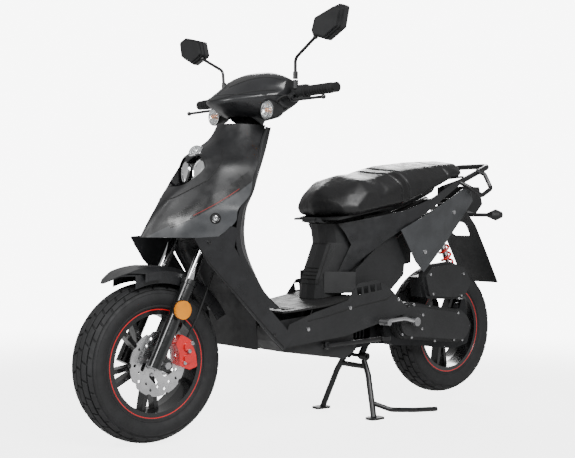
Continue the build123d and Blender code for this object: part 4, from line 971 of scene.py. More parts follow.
def crease(
    name: str, skin: Skin, points: Sequence[Flat], radius: float, lift: float = 0.0
) -> bpy.types.Object:
    """A dark joint line on both sides, following the skin.

    Args:
        name: the piece's name.
        skin: what it lies on.
        points: forward and up of its corners.
        radius: half its width.
        lift: how far off the skin its middle is.

    Returns:
        The piece.
    """
    made = [
        tube(f"{name}_{side.tag}", skin.line(side, points, lift), radius, 2)
        for side in Side
    ]
    return join(name, made)


def decal(
    name: str, skin: Skin, corners: Sequence[Vector], way: Vector, thick: float,
    parts: tuple[int, int] = (24, 6)
) -> bpy.types.Object:
    """A thin raised sheet laid on a skin, its outline a four-cornered one.

    Args:
        name: the piece's name.
        skin: what it lies on.
        corners: its four corners, in order, off the skin.
        way: the direction in which it is pressed on.
        thick: how far it stands proud.
        parts: squares along and across.

    Returns:
        The piece.
    """
    start()
    bpy.ops.mesh.primitive_grid_add(x_subdivisions=parts[0], y_subdivisions=parts[1], size=1.0)
    made = apply_all(named(name))
    missed = 0
    for vertex in made.data.vertices:
        u, v = vertex.co.x + 0.5, vertex.co.y + 0.5
        low = corners[0].lerp(corners[1], u)
        high = corners[3].lerp(corners[2], u)
        met = skin.meet(low.lerp(high, v), way, 0.0)
        missed += met is None
        vertex.co = met[0] if met else low.lerp(high, v)
    if missed:
        log.warning("%s: %d points miss the skin", name, missed)
    with shaping(made):
        bpy.ops.mesh.select_all(action="SELECT")
        bpy.ops.mesh.normals_make_consistent(inside=False)
    outward = sum((face.normal * face.area for face in made.data.polygons), Vector())
    if outward.dot(way) > 0:
        with shaping(made):
            bpy.ops.mesh.select_all(action="SELECT")
            bpy.ops.mesh.flip_normals()
    return modify(made, "SOLIDIFY", thickness=thick * 2, offset=0.0)


# ---------------------------------------------------------------- wheels


@dataclass
class Tyre:
    """A block-tread tyre that stands for its CAD node.

    Attributes:
        node: the CAD node it replaces.
        body: the body it rides on.
        depth: depth of the tread in metres.
        pitches: repeats of the tread pattern round the tyre.
        steps: faces round one repeat.
        slant: how far round, in degrees, the blocks lean at the shoulder.
    """

    node: str
    body: str
    depth: float = 0.0052
    pitches: int = 28
    steps: int = 8
    slant: float = 7.5
    rows: tuple[float, ...] = (0.0525, 0.0475, 0.0405, 0.0375, 0.030, 0.0215, 0.0185, 0.0095, 0.0014)

    def profile(self, radius: float, half: float) -> list[Flat]:
        """The carcass as radius and place across, right round.

        Args:
            radius: radius over the blocks.
            half: half the tyre's width.

        Returns:
            The corners.
        """
        crown = radius - self.depth
        wall = [
            (0.6645, 0.700), (0.672, 0.795), (0.690, 0.835), (0.700, 0.900), (0.716, 0.906), (0.722, 0.890),
            (0.760, 0.965), (0.800, 0.995), (0.835, 0.985), (0.868, 0.950), (0.874, 0.962), (0.882, 0.935),
        ]
        side = [(radius * r, half * y) for r, y in wall]
        tread = [(crown - (crown - radius * 0.905) * (y / 0.0525) ** 2.3, y) for y in self.rows]
        upper = side + tread
        lower = [(r, -y) for r, y in reversed(upper)]
        return upper + lower

    def raised(self, angle: float, across: float) -> bool:
        """Whether a point of the tread is on a block.

        Args:
            angle: degrees round the wheel.
            across: metres from the middle.

        Returns:
            True on a block.
        """
        pitch = 360.0 / self.pitches
        place = abs(across)
        if place > 0.0525 or place < 0.0014 or 0.0185 < place < 0.0215 or 0.0375 < place < 0.0405:
            return False
        row = 0.5 if 0.0215 < place < 0.0375 else 0.0
        turn = (angle / pitch + row + (0.25 if across < 0 else 0.0)) % 1.0
        return turn > 1.05 / self.steps

    def build(self) -> bpy.types.Object:
        """Spins the carcass and raises its blocks.

        Returns:
            The tyre.
        """
        low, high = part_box(self.node)
        centre = (low + high) / 2
        radius, half = (high.z - low.z) / 2, (high.y - low.y) / 2
        across = Way.LEFT.vector
        tyre = lathe(
            self.node + "_treads", self.profile(radius, half), centre, across, self.pitches * self.steps,
            closed=True
        )

        def place(point: Vector) -> tuple[float, float, float]:
            """Degrees round, distance out and metres across."""
            arm = point - centre
            return math.degrees(math.atan2(arm.z, arm.x)) % 360.0, math.hypot(arm.x, arm.z), arm.y

        with shaping(tyre):
            pick(
                tyre, lambda point,
                _: place(point)[1] > radius * 0.9 and self.raised(place(point)[0], place(point)[2])
            )
            bpy.ops.mesh.extrude_region_shrink_fatten(
                MESH_OT_extrude_region={"use_normal_flip": False},
                TRANSFORM_OT_shrink_fatten={"value": self.depth}
            )
            bpy.ops.mesh.region_to_loop()
            bpy.ops.mesh.bevel(offset=0.0009, segments=1, affect="EDGES")
        top = radius * 0.9
        for vertex in tyre.data.vertices:
            _, out, y = place(vertex.co)
            if out > top:
                fade = min(1.0, (out - top) / (radius * 0.02))
                turn = math.radians(self.slant) * (abs(y) / half) ** 1.4 * fade
                arm = vertex.co - centre
                limit = min(1.0, radius / out)
                arm = Vector((arm.x * limit, arm.y, arm.z * limit))
                vertex.co = centre + Matrix.Rotation(turn, 3, "Y") @ arm
        dress(tyre, Finishes.RUBBER, self.body, 28)
        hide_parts(self.node)
        log.info("%s: %d blocks' worth of tread on radius %.4f", tyre.name, self.pitches * 6, radius)
        return tyre


@dataclass
class Wheel:
    """A wheel's trim: red pinstripes on both flanges and a valve.

    Attributes:
        node: the rim's CAD node.
        body: the body it rides on.
        stripe: radii of the pinstripe.
    """

    node: str
    body: str
    stripe: Flat = (0.1568, 0.1594)
    face: float = 0.049

    def build(self) -> None:
        """Makes the pinstripes and the valve."""
        tyre_low, tyre_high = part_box(self.node.replace("rim", "tyre"))
        centre = (tyre_low + tyre_high) / 2
        inner, outer = self.stripe
        rings = []
        for side in Side:
            face = side.value * self.face
            lift = side.value * 0.0006
            profile = [
                (inner, face - lift), (inner, face), (inner + 0.0005, face + lift),
                (outer - 0.0005, face + lift), (outer, face), (outer, face - lift)
            ]
            rings.append(lathe("ring", profile, centre, Way.LEFT.vector, 120, closed=True))
        stripes = join(self.node + "_pinstripes", rings)
        dress(stripes, Finishes.RED, self.body)
        out = Vector((math.cos(math.radians(205)), 0, math.sin(math.radians(205))))
        foot = centre + out * 0.1475
        stem = rod("stem", foot, foot - out * 0.022, 0.0032, 14)
        cap = rod("cap", foot - out * 0.016, foot - out * 0.030, 0.0042, 10)
        valve = join(self.node + "_valve", [stem, cap])
        dress(valve, Finishes.GRIP, self.body)
        log.info("%s: pinstripes and valve", self.node)


@dataclass
class Brake:
    """Disc screws and caliper bolts of the front brake."""

    body: str = "fork_lower"
    wheel: str = "front_wheel"

    def build(self) -> None:
        """Makes the disc screws and the caliper's fittings."""
        low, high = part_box("brake_disc")
        centre = Vector(((low.x + high.x) / 2, high.y, (low.z + high.z) / 2))
        places = []
        for number in range(5):
            angle = math.radians(72 * number + 18)
            places.append(
                (
                    Vector((centre.x + 0.036 * math.cos(angle), 0.0545, centre.z + 0.036 * math.sin(angle))),
                    Way.LEFT.vector
                )
            )
        screws = bolts("disc_screws", places, 0.0052, 0.003)
        dress(screws, Finishes.STEEL, self.wheel)
        low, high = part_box("brake_caliper")
        left = Way.LEFT.vector
        mid = (low + high) / 2
        spots = [
            (Vector((mid.x - 0.018, high.y, mid.z + 0.026)), left),
            (Vector((mid.x + 0.008, high.y, mid.z - 0.030)), left),
            (Vector((mid.x - 0.004, high.y, mid.z + 0.004)), left),
        ]
        skin = Skin("brake_caliper")
        seated = []
        for place, facing in spots:
            met = skin.from_side(Side.LEFT, place.x, place.z)
            if met:
                seated.append((met[0], facing))
        heads = bolts("caliper_bolts", seated, 0.0065, 0.005, hexed=True)
        dress(heads, Finishes.STEEL, self.body)
        log.info("front brake: %d screws, %d caliper bolts", len(places), len(seated))


# ---------------------------------------------------------------- seat


@dataclass
class Saddle:
    """The two-level seat: an inflated vinyl cover with sewn seams.

    Attributes:
        voxel: remesh size in metres.
        cap: how far a point of the cover may swell.
        pressure: cloth pressure.
        welts: seams as forward place at the middle, sweep towards the sides, depth.
    """

    voxel: float = 0.0065
    cap: float = 0.007
    pressure: float = 4.0
    body: str = "seat"
    welts: tuple[tuple[float, float, float], ...] = (
        (-0.212, 0.055, 0.0035), (-0.252, 0.055, 0.0035), (-0.485, 0.03, 0.0030)
    )
    nose: float = 0.02

    def cover(self) -> bpy.types.Object:
        """A remeshed and smoothed copy of the cushion.

        Returns:
            The copy.
        """
        source = bpy.data.objects["seat_cushion"]
        hold(source)
        bpy.ops.object.duplicate(linked=False)
        copy = named("seat_cover")
        for key in list(copy.keys()):
            del copy[key]
        hold(copy)
        bpy.ops.object.parent_clear(type="CLEAR_KEEP_TRANSFORM")
        bpy.ops.mesh.customdata_custom_splitnormals_clear()
        face_out(copy)
        modify(copy, "REMESH", mode="VOXEL", voxel_size=self.voxel)
        modify(copy, "SMOOTH", factor=0.5, iterations=12)
        return copy

    def swell(self, piece: bpy.types.Object) -> None:
        """Blows the cover up like cloth over foam, within a cap.

        Args:
            piece: the cover.
        """
        before = [vertex.co.copy() for vertex in piece.data.vertices]
        hold(piece)
        cloth = piece.modifiers.new("cloth", "CLOTH")
        cloth.settings.use_pressure = True
        cloth.settings.uniform_pressure_force = self.pressure
        cloth.settings.tension_stiffness = 12
        cloth.settings.compression_stiffness = 12
        cloth.settings.effector_weights.gravity = 0.0
        cloth.point_cache.frame_start, cloth.point_cache.frame_end = 1, 14
        for frame_number in range(1, 15):
            bpy.context.scene.frame_set(frame_number)
        hold(piece)
        bpy.ops.object.modifier_apply(modifier=cloth.name)
        bpy.context.scene.frame_set(1)
        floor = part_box("seat_cushion")[0].z
        for vertex, place in zip(piece.data.vertices, before):
            move = vertex.co - place
            if move.length > self.cap:
                move *= self.cap / move.length
            if place.z < floor + 0.012:
                move.z = max(0.0, move.z)
            vertex.co = place + move

    def welt_offset(self, point: Vector, welt: tuple[float, float, float]) -> float:
        """How far a point is ahead of a cross seam."""
        along, sweep, _ = welt
        return point.x - (along - sweep * (point.y / 0.15) ** 2 - 0.35 * max(0.0, 0.80 - point.z))

    def sew(self, piece: bpy.types.Object) -> None:
        """Presses the seams into the cover.

        Args:
            piece: the cover.
        """
        piece.data.update()
        normals = [vertex.normal.copy() for vertex in piece.data.vertices]
        for vertex, normal in zip(piece.data.vertices, normals):
            dip = 0.0
            for welt in self.welts:
                dip += welt[2] * math.exp(-((self.welt_offset(vertex.co, welt) / 0.0042) ** 2))
            if vertex.co.x > self.nose:
                dip += 0.0026 * math.exp(-((vertex.co.y / 0.0042) ** 2))
            vertex.co -= normal * dip

    def stitches(self, skin: BVHTree) -> bpy.types.Object:
        """Two rows of stitches beside each cross seam and down the nose.

        Args:
            skin: the finished cover.

        Returns:
            The stitches, joined.
        """
        start()
        bpy.ops.mesh.primitive_cylinder_add(
            vertices=6, radius=0.0008, depth=0.0052, rotation=(0, math.radians(90), 0)
        )
        pattern = apply_all(named("stitch"))
        with shaping(pattern):
            pick(pattern, lambda _, normal: abs(normal.x) > 0.9)
            bpy.ops.mesh.inset(thickness=0.0004, depth=0.0006)
        turns = []
        middle = Vector((0.0, 0.0, 0.74))
        for welt in self.welts:
            for shift in (-0.0062, 0.0062):
                points = []
                for number in range(-64, 65):
                    angle = math.radians(number * 1.35)
                    way = Vector((0, math.sin(angle), math.cos(angle)))
                    x = welt[0] + shift
                    for _ in range(4):
                        hit, normal, _, _ = skin.ray_cast(Vector((x, 0, middle.z)), way)
                        if hit is None:
                            break
                        x -= self.welt_offset(hit, welt) - shift
                    if hit is not None:
                        points.append((hit, normal))
                turns += self.row(points)
        made = []
        for turn in turns:
            copy = pattern.copy()
            copy.data = pattern.data.copy()
            copy.data.transform(turn)
            bpy.context.scene.collection.objects.link(copy)
            made.append(copy)
        bpy.data.objects.remove(pattern)
        return join("seat_stitches", made)

    @staticmethod
    def row(points: Sequence[tuple[Vector, Vector]], gap: float = 0.0078) -> list[Matrix]:
        """Places for stitches along a line.

        Args:
            points: the line's points, with the surface normals.
            gap: from one stitch to the next.

        Returns:
            A move for each stitch.
        """
        turns, carried = [], 0.0
        for (here, normal), (there, _) in zip(points, points[1:]):
            step = there - here
            carried += step.length
            if carried < gap or step.length > 0.03:
                continue
            carried = 0.0
            along = step.normalized()
            side = normal.cross(along).normalized()
            turn = Matrix((along, side, along.cross(side))).transposed().to_4x4()
            turns.append(Matrix.Translation(here + normal * 0.0001) @ turn)
        return turns

    def build(self) -> None:
        """Makes the cover, its band and its stitches."""
        cover = self.cover()
        self.swell(cover)
        modify(cover, "SMOOTH", factor=0.5, iterations=4)
        modify(cover, "SUBSURF", levels=1, render_levels=1)
        self.sew(cover)
        face_out(cover)
        cover.data.update()
        skin = BVHTree.FromPolygons(
            [vertex.co.copy() for vertex in cover.data.vertices], [
                tuple(face.vertices) for face in cover.data.polygons
            ]
        )
        stitches = self.stitches(skin)
        dress(cover, Finishes.SEAT, self.body, 180)
        cover.data.materials.append(Finishes.get(Finishes.BAND))
        front, rear = self.welts[0], self.welts[1]
        for face in cover.data.polygons:
            if self.welt_offset(face.center, front) < 0 < self.welt_offset(face.center, rear):
                face.material_index = 1
        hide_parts("seat_cushion")
        dress(stitches, Finishes.THREAD, self.body)
        log.info("seat: %d faces, %d stitch faces", len(cover.data.polygons), len(stitches.data.polygons))


# ---------------------------------------------------------------- shock


@dataclass
class Coil:
    """The rear spring between the shock's two bodies.

    Attributes:
        turns: number of turns.
        wire: radius of the wire.
    """

    node: str = "shock_spring"
    turns: float = 8.0
    wire: float = 0.0042

    def build(self) -> None:
        """Winds the coil along the spring's own axis."""
        slide = next(joint for joint in frame["joints"] if joint["name"] == "shock_travel")
        along = Vector(slide["axis"]).normalized()
        low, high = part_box(self.node)
        radius = (high.y - low.y) / 2
        length = (high.z - low.z - 2 * radius * abs(along.x)) / abs(along.z)
        middle = (low + high) / 2
        side = Way.LEFT.vector
        out = side.cross(along).normalized()
        reach = radius - self.wire
        points = []
        spots = int(self.turns * 10)
        for number in range(spots + 1):
            share = number / spots
            angle = share * self.turns * math.tau
            pitch = min(1.0, max(0.0, (share - 0.06) / 0.88))
            height = (pitch - 0.5) * (length - 2 * self.wire)
            points.append(
                middle + along * height + (out * math.cos(angle) + side * math.sin(angle)) * reach * 1.06
            )
        coil = tube("spring_coil", points, self.wire, 3)
        soften(coil, 60)
        coil.data.materials.append(Finishes.get(Finishes.SPRING))
        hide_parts(self.node)
        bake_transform(coil)
        log.info("spring: %.0f mm long, radius %.0f mm", length * 1000, radius * 1000)


# ---------------------------------------------------------------- bodywork


def between(points: Sequence[Vector], parts: int, closed: bool = False) -> list[Vector]:
    """A smooth line through points.

    Args:
        points: what it goes through.
        parts: steps from one point to the next.
        closed: whether it returns to its start.

    Returns:
        Its points.
    """
    count = len(points)
    spans = count if closed else count - 1
    found = []

    def at(index: int) -> Vector:
        """A point, past either end too."""
        return points[index % count] if closed else points[max(0, min(count - 1, index))]

    for span in range(spans):
        a, b, c, d = (at(span + step) for step in (-1, 0, 1, 2))
        for step in range(parts):
            t = step / parts
            found.append(
                0.5 * (
                    (2 * b) + (c - a) * t + (2 * a - 5 * b + 4 * c - d) * t * t
                    + (3 * b - a - 3 * c + d) * t ** 3
                )
            )
    if not closed:
        found.append(points[-1].copy())
    return found


def loft(
    name: str, rows: Sequence[Sequence[Vector]], across: int, along: int, closed: bool = False
) -> bpy.types.Object:
    """A smooth sheet through rows of points, shaped from a grid.

    Args:
        name: the piece's name.
        rows: rows of as many points each.
        across: steps from point to point in a row.
        along: steps from row to row.
        closed: whether rows close on themselves.

    Returns:
        The sheet.
    """
    fine = [between(row, across, closed) for row in rows]
    if closed:
        fine = [row + [row[0]] for row in fine]
    columns = [between([row[index] for row in fine], along) for index in range(len(fine[0]))]
    wide, tall = len(columns), len(columns[0])
    start()
    bpy.ops.mesh.primitive_grid_add(x_subdivisions=wide - 1, y_subdivisions=tall - 1, size=1.0)
    made = apply_all(named(name))
    for vertex in made.data.vertices:
        column = round((vertex.co.x + 0.5) * (wide - 1))
        row = round((vertex.co.y + 0.5) * (tall - 1))
        vertex.co = columns[column][row]
    made.data.update()
    return made


def turn_out(piece: bpy.types.Object, inside: Vector) -> bpy.types.Object:
    """Turns an open sheet's faces away from a point.

    Args:
        piece: the sheet.
        inside: the point.

    Returns:
        The sheet.
    """
    with shaping(piece, "VERT"):
        bpy.ops.mesh.select_all(action="SELECT")
        bpy.ops.mesh.remove_doubles(threshold=0.00002)
        bpy.ops.mesh.normals_make_consistent(inside=False)
    facing = sum(face.area * face.normal.dot(face.center - inside) for face in piece.data.polygons)
    if facing < 0:
        with shaping(piece):
            bpy.ops.mesh.select_all(action="SELECT")
            bpy.ops.mesh.flip_normals()
    return piece


def cut(piece: bpy.types.Object, cutter: bpy.types.Object) -> bpy.types.Object:
    """Cuts one closed piece out of another and removes the cutter."""
    modify(piece, "BOOLEAN", object=cutter, operation="DIFFERENCE", solver="EXACT")
    bpy.data.objects.remove(cutter)
    return piece


def mm(*values: float) -> Vector:
    """A point given in millimetres."""
    return Vector(values) / 1000.0


@dataclass
class FrontShield:
    """The beaked front shield with its heart-shaped lamp opening.

    Attributes:
        levels: height, then forward and sideways places of half a section, in millimetres.
        wall: thickness of the plastic.
        heart: the lamp opening, sideways and up, one half.
    """

    levels: tuple = (
        (604, (672, 660, 648, 612, 575, 505), (0, 14, 27, 60, 96, 150)),
        (650, (645, 635, 620, 590, 556, 458), (0, 16, 31, 68, 109, 176)),
        (690, (618, 610, 594, 564, 531, 452), (0, 18, 35, 74, 119, 184)),
        (735, (580, 577, 562, 532, 497, 408), (0, 26, 46, 81, 125, 182)),
        (790, (531, 530, 523, 500, 463, 374), (0, 30, 56, 80, 116, 154)),
        (830, (510, 508, 500, 471, 434, 347), (0, 30, 55, 80, 110, 140)),
        (856, (492, 489, 478, 444, 398, 336), (0, 28, 50, 76, 99, 126)),
        (906, (418, 416, 407, 390, 366, 302), (0, 20, 37, 56, 75, 96)),
        (956, (384, 382, 375, 358, 335, 268), (0, 18, 31, 46, 60, 78)),
    )
    wall: float = 0.003
    heart: tuple = (
        (0, 828), (8, 837), (24, 848), (44, 850), (62, 840), (71, 818), (66, 792), (50, 768), (30, 757),
        (0, 756)
    )
    lamp_back: float = 0.470
    body: str = "chassis"

    def shell(self) -> bpy.types.Object:
        """The bowed skin, thickened inwards.

        Returns:
            The skin.
        """
        rows = []
        for height, forward, aside in self.levels:
            half = [mm(x, y, height) for x, y in zip(forward, aside)]
            rows.append([Vector((p.x, -p.y, p.z)) for p in reversed(half[1:])] + half)
        skin = loft("shield_skin", rows, 4, 6)
        turn_out(skin, mm(300, 0, 760))
        return modify(skin, "SOLIDIFY", thickness=self.wall, offset=-1.0)

    def opening(self) -> list[Vector]:
        """The heart's outline, in the plane across the scooter."""
        half = [mm(0, y, z) for y, z in self.heart]
        other = [Vector((0, -p.y, p.z)) for p in reversed(half[1:-1])]
        line = between(half + other, 3, closed=True)
        return line

    def bucket(self, skin: Skin, line: Sequence[Vector]) -> bpy.types.Object:
        """The black tunnel from the lamps out to the skin.

        Args:
            skin: the shield's outside.
            line: the opening's outline.

        Returns:
            The tunnel.
        """
        rows = []
        for share in (0.0, 0.5, 1.0):
            row = []
            for point in line:
                met = skin.meet(Vector((1.0, point.y * 1.03, point.z)), -Way.FORWARD.vector)
                front = (met[0].x if met else 0.53) - 0.0004
                row.append(Vector((self.lamp_back + (front - self.lamp_back) * share, point.y, point.z)))
            rows.append(row)
        tunnel = loft("lamp_tunnel", rows, 1, 3, closed=True)
        turn_out(tunnel, mm(500, 0, 800))
        modify(tunnel, "SOLIDIFY", thickness=0.002, offset=1.0)
        return dress(tunnel, Finishes.GLOSS, self.body)

    def lamp(self, side: Side) -> bpy.types.Object:
        """One faceted oval lamp, deep in the opening.

        Args:
            side: which lamp.

        Returns:
            The lamp.
        """
        start()
        facing = Vector((1.0, side.value * 0.22, 0.16)).normalized()
        middle = Vector((0.484, side.value * 0.0365, 0.806))
        bpy.ops.mesh.primitive_circle_add(vertices=20, radius=1.0, fill_type="NGON")
        eye = named(f"headlamp_{side.tag}")
        for vertex in eye.data.vertices:
            place = vertex.co.copy()
            lean = 0.16 * side.value * place.y * 0.035
            narrow = 1.0 - 0.22 * max(0.0, -place.y)
            vertex.co = Vector((place.x * 0.0265 * narrow + lean, place.y * 0.0365, 0.0))
        aside = Way.UP.vector.cross(facing).normalized()
        turn = Matrix((aside, facing.cross(aside), facing)).transposed().to_4x4()
        eye.matrix_world = Matrix.Translation(middle) @ turn
        apply_all(eye)
        with shaping(eye):
            bpy.ops.mesh.select_all(action="SELECT")
            bpy.ops.mesh.extrude_region_move(TRANSFORM_OT_translate={"value": facing * 0.007})
            bpy.ops.mesh.inset(thickness=0.0014, depth=0.0012)
            bpy.ops.mesh.inset(thickness=0.0018, depth=-0.0022)
            bpy.ops.mesh.inset(thickness=0.0058, depth=0.0042)
            bpy.ops.mesh.inset(thickness=0.0052, depth=0.0014)
            bpy.ops.mesh.poke()
        face_out(eye)
        return eye

    def build(self) -> None:
        """Makes the shield, the lamps and the trim on it."""
        shield = self.shell()
        whole = Skin("shield_skin")
        line = self.opening()
        cutter = slab("heart", [point + Vector((0.49, 0, 0)) for point in line], Vector((0.2, 0, 0)), 0.0)
        cut(shield, cutter)
        dress(shield, Finishes.BODY, self.body, 40)
        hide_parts("front_shield")
        skin = Skin("shield_skin")
        self.bucket(whole, line)
        eyes = join("headlamp_facets", [self.lamp(side) for side in Side])
        dress(eyes, Finishes.FACET, self.body, 12)
        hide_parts("headlamp_lenses")
        # Partly painted shadow: this near-black line along the nose's edge stands for the joint there and
        # also for the shade under the nose's proud edge, which is not modelled.
        arc = [(0.668, 0.682), (0.640, 0.692), (0.574, 0.724), (0.498, 0.775), (0.443, 0.842), (0.428, 0.872)]
        gap = crease("shield_crease_shadow", skin, arc, 0.0016)
        dress(gap, Finishes.GAP, self.body)
        bands = []
        for side in Side:
            far = side.value
            low = [
                Vector((0.606, far, 0.630)), Vector((0.382, far, 0.776)), Vector((0.382, far, 0.806)),
                Vector((0.606, far, 0.662))
            ]
            bands.append(decal(f"band_{side.tag}", skin, low, Vector((0, -side.value, 0)), 0.0007, (40, 3)))
        band = join("shield_band", bands)
        dress(band, Finishes.LEVER, self.body)
        stripe = crease(
            "shield_stripe", skin, [(0.556, 0.6685), (0.500, 0.7045), (0.430, 0.7500)], 0.0012, 0.0003
        )
        dress(stripe, Finishes.STRIPE, self.body)
        studs, rings = [], []
        for side in Side:
            met = skin.from_side(side, 0.506, 0.662)
            if met:
                studs.append(met)
                rings.append(
                    lathe(
                        f"ring_{side.tag}",
                        [
                            (0.0105, 0.0), (0.0105, 0.0016), (0.0118, 0.0024), (0.0148, 0.0024),
                            (0.016, 0.0012), (0.016, -0.001), (0.0105, -0.001)
                        ],
                        met[0], met[1], 36, closed=True,
                    )
                )
        dress(join("apron_rings", rings), Finishes.GLOSS, self.body)
        dress(bolts("apron_bolts", studs, 0.0075, 0.0035), Finishes.CHROME, self.body)
        self.position_lamp(skin)
        log.info("front shield: %d faces", len(shield.data.polygons))

    def position_lamp(self, skin: Skin) -> None:
        """The small clear lamp on top of the nose.

        Args:
            skin: the shield's outside.
        """
        met = skin.meet(mm(478, 0, 1000), -Way.UP.vector)
        if met is None:
            return
        place, _ = met
        start()
        bpy.ops.mesh.primitive_uv_sphere_add(segments=20, ring_count=10, radius=1.0)
        dome = named("position_lamp")
        lean = Vector((0.55, 0, 0.83)).normalized()
        dome.matrix_world = Matrix.Translation(place) @ turned(lean) @ Matrix.Diagonal((0.020, 0.024, 0.017,
        1.0))
        apply_all(dome)
        with shaping(dome):
            bpy.ops.mesh.select_all(action="SELECT")
            bpy.ops.mesh.bisect(
                plane_co=place - lean * 0.004, plane_no=-lean, use_fill=True, clear_outer=True
            )
        face_out(dome)
        dress(dome, Finishes.CLEAR, self.body, 60)
        rim = lathe(
            "position_rim", [
                (0.0195, -0.005), (0.0195, 0.0012), (0.0215, 0.0028), (0.0262, 0.0016), (0.0262, -0.005)
            ],
            place, lean, 40, closed=True,
        )
        dress(rim, Finishes.CHROME, self.body)
        glow = lathe(
            "position_bulb", [
                (0.0001, 0.010), (0.004, 0.009), (0.0055, 0.005), (0.0055, 0.0), (0.016, 0.001),
                (0.018, -0.004), (0.0001, -0.004)
            ],
            place, lean, 24,
        )
        dress(glow, Finishes.FACET, self.body)


@dataclass
class LegShield:
    """The rider's side of the front: a smooth channel that closes the shield.

    Attributes:
        levels: height, side edge, knee wing and spine corner, in millimetres.
    """

    levels: tuple = (
        (392, (330, 168), (262, 150), (254, 100)),
        (440, (362, 168), (324, 158), (283, 84)),
        (500, (399, 168), (369, 158), (308, 72)),
        (560, (437, 168), (408, 158), (325, 64)),
        (612, (447, 168), (421, 158), (334, 62)),
        (660, (446, 173), (420, 162), (333, 62)),
        (700, (437, 178), (412, 165), (326, 62)),
        (745, (396, 171), (374, 155), (308, 62)),
        (790, (368, 148), (346, 132), (290, 64)),
        (856, (330, 120), (308, 104), (262, 64)),
        (906, (296, 91), (278, 80), (242, 60)),
        (952, (262, 73), (246, 64), (224, 50)),
    )
    wall: float = 0.003
    body: str = "chassis"

    def row(self, height: float, edge: Flat, wing: Flat, spine: Flat) -> list[Vector]:
        """Points of one level, from the left edge round to the right."""
        between_them = ((wing[0] * 0.45 + spine[0] * 0.55) - 5.0, wing[1] * 0.45 + spine[1] * 0.55)
        half = [
            edge,
            ((edge[0] * 0.35 + wing[0] * 0.65), edge[1] - (edge[1] - wing[1]) * 0.35),
            (wing[0], wing[1] - 2.0),
            (wing[0] * 0.86 + spine[0] * 0.14, wing[1] * 0.86 + spine[1] * 0.14 - 3.0),
            between_them,
            (spine[0] + 5.0, spine[1] + 3.0),
            (spine[0] - 2.0, spine[1] * 0.72),
            (spine[0] - 4.0, 0.0),
        ]
        left = [mm(x, y, height) for x, y in half]
        return left + [Vector((p.x, -p.y, p.z)) for p in reversed(left[:-1])]

    def build(self) -> None:
        """Makes the channel and its key ring."""
        rows = [self.row(*level) for level in self.levels]
        leg = loft("leg_skin", rows, 4, 4)
        turn_out(leg, mm(420, 0, 650))
        modify(leg, "SOLIDIFY", thickness=self.wall, offset=-1.0)
        key_low, key_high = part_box("ignition_key")
        hole = (key_low + key_high) / 2
        way = Vector((-1, 0, 0.2)).normalized()
        cut(leg, rod("keyhole", hole - way * 0.08, hole + way * 0.08, 0.0102, 24))
        dress(leg, Finishes.PANEL, self.body, 50)
        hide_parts("leg_shield")
        met = Skin("leg_shield").meet(hole + way * 0.1, -way)
        seat = met[0] if met else hole
        ring = lathe(
            "key_ring",
            [
                (0.0098, -0.02), (0.0098, 0.001), (0.0112, 0.003), (0.015, 0.003), (0.0165, 0.0),
                (0.0165, -0.02)
            ],
            seat, way, 32, closed=True
        )
        dress(ring, Finishes.CHROME, self.body)
        log.info("leg shield: %d faces", len(leg.data.polygons))


@dataclass
class SideSkins:
    """A pair of bowed side panels cut to an outline.

    Attributes:
        node: the CAD node they replace.
        plan: forward and sideways places of the panel's bow, in millimetres.
        outline: forward and up of its corners, in millimetres.
    """

    node: str
    plan: tuple[Flat, ...]
    outline: tuple[Flat, ...]
    finish: Finish
    slot: str
    wall: float = 3.0
    body: str = "chassis"

    def aside(self, x: float) -> float:
        """How far out the panel is at a place, in metres."""
        line = between([mm(px, py, 0) for px, py in self.plan], 12)
        for before, after in zip(line, line[1:]):
            if after.x <= x <= before.x:
                share = (before.x - x) / max(1e-9, before.x - after.x)
                return before.y + (after.y - before.y) * share
        return line[0].y if x > line[0].x else line[-1].y

    def build(self) -> bpy.types.Object:
        """Makes both panels.

        Returns:
            The panels, joined.
        """
        made = []
        for side in Side:
            outline_points = [mm(x, 0, z) for x, z in self.outline]
            panel = draw_line(f"panel_{side.tag}", [*outline_points, outline_points[0]])
            with shaping(panel, "VERT"):
                bpy.ops.mesh.select_all(action="SELECT")
                bpy.ops.mesh.remove_doubles(threshold=0.00002)
                bpy.ops.mesh.edge_face_add()
                low = min(p.x for p in outline_points)
                high = max(p.x for p in outline_points)
                station = low + 0.012
                while station < high:
                    bpy.ops.mesh.select_all(action="SELECT")
                    bpy.ops.mesh.bisect(plane_co=(station, 0, 0), plane_no=(1, 0, 0))
                    station += 0.014
                bottom = min(p.z for p in outline_points)
                top = max(p.z for p in outline_points)
                station = bottom + 0.01
                while station < top:
                    bpy.ops.mesh.select_all(action="SELECT")
                    bpy.ops.mesh.bisect(plane_co=(0, 0, station), plane_no=(0, 0, 1))
                    station += 0.02
            for vertex in panel.data.vertices:
                reach = self.aside(vertex.co.x) - self.wall / 2000
                vertex.co.y = side.value * reach
            turn_out(panel, Vector((vertex.co.x, 0, vertex.co.z)))
            modify(panel, "SOLIDIFY", thickness=self.wall / 1000, offset=0.0)
            modify(
                panel, "BEVEL", width=0.0011, segments=3, limit_method="ANGLE", angle_limit=math.radians(50)
            )
            made.append(panel)
        panels = join(self.node + "_skins", made)
        dress(panels, self.finish, self.body, 40)
        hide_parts(self.node)
        log.info("%s: %d faces", panels.name, len(panels.data.polygons))
        return panels


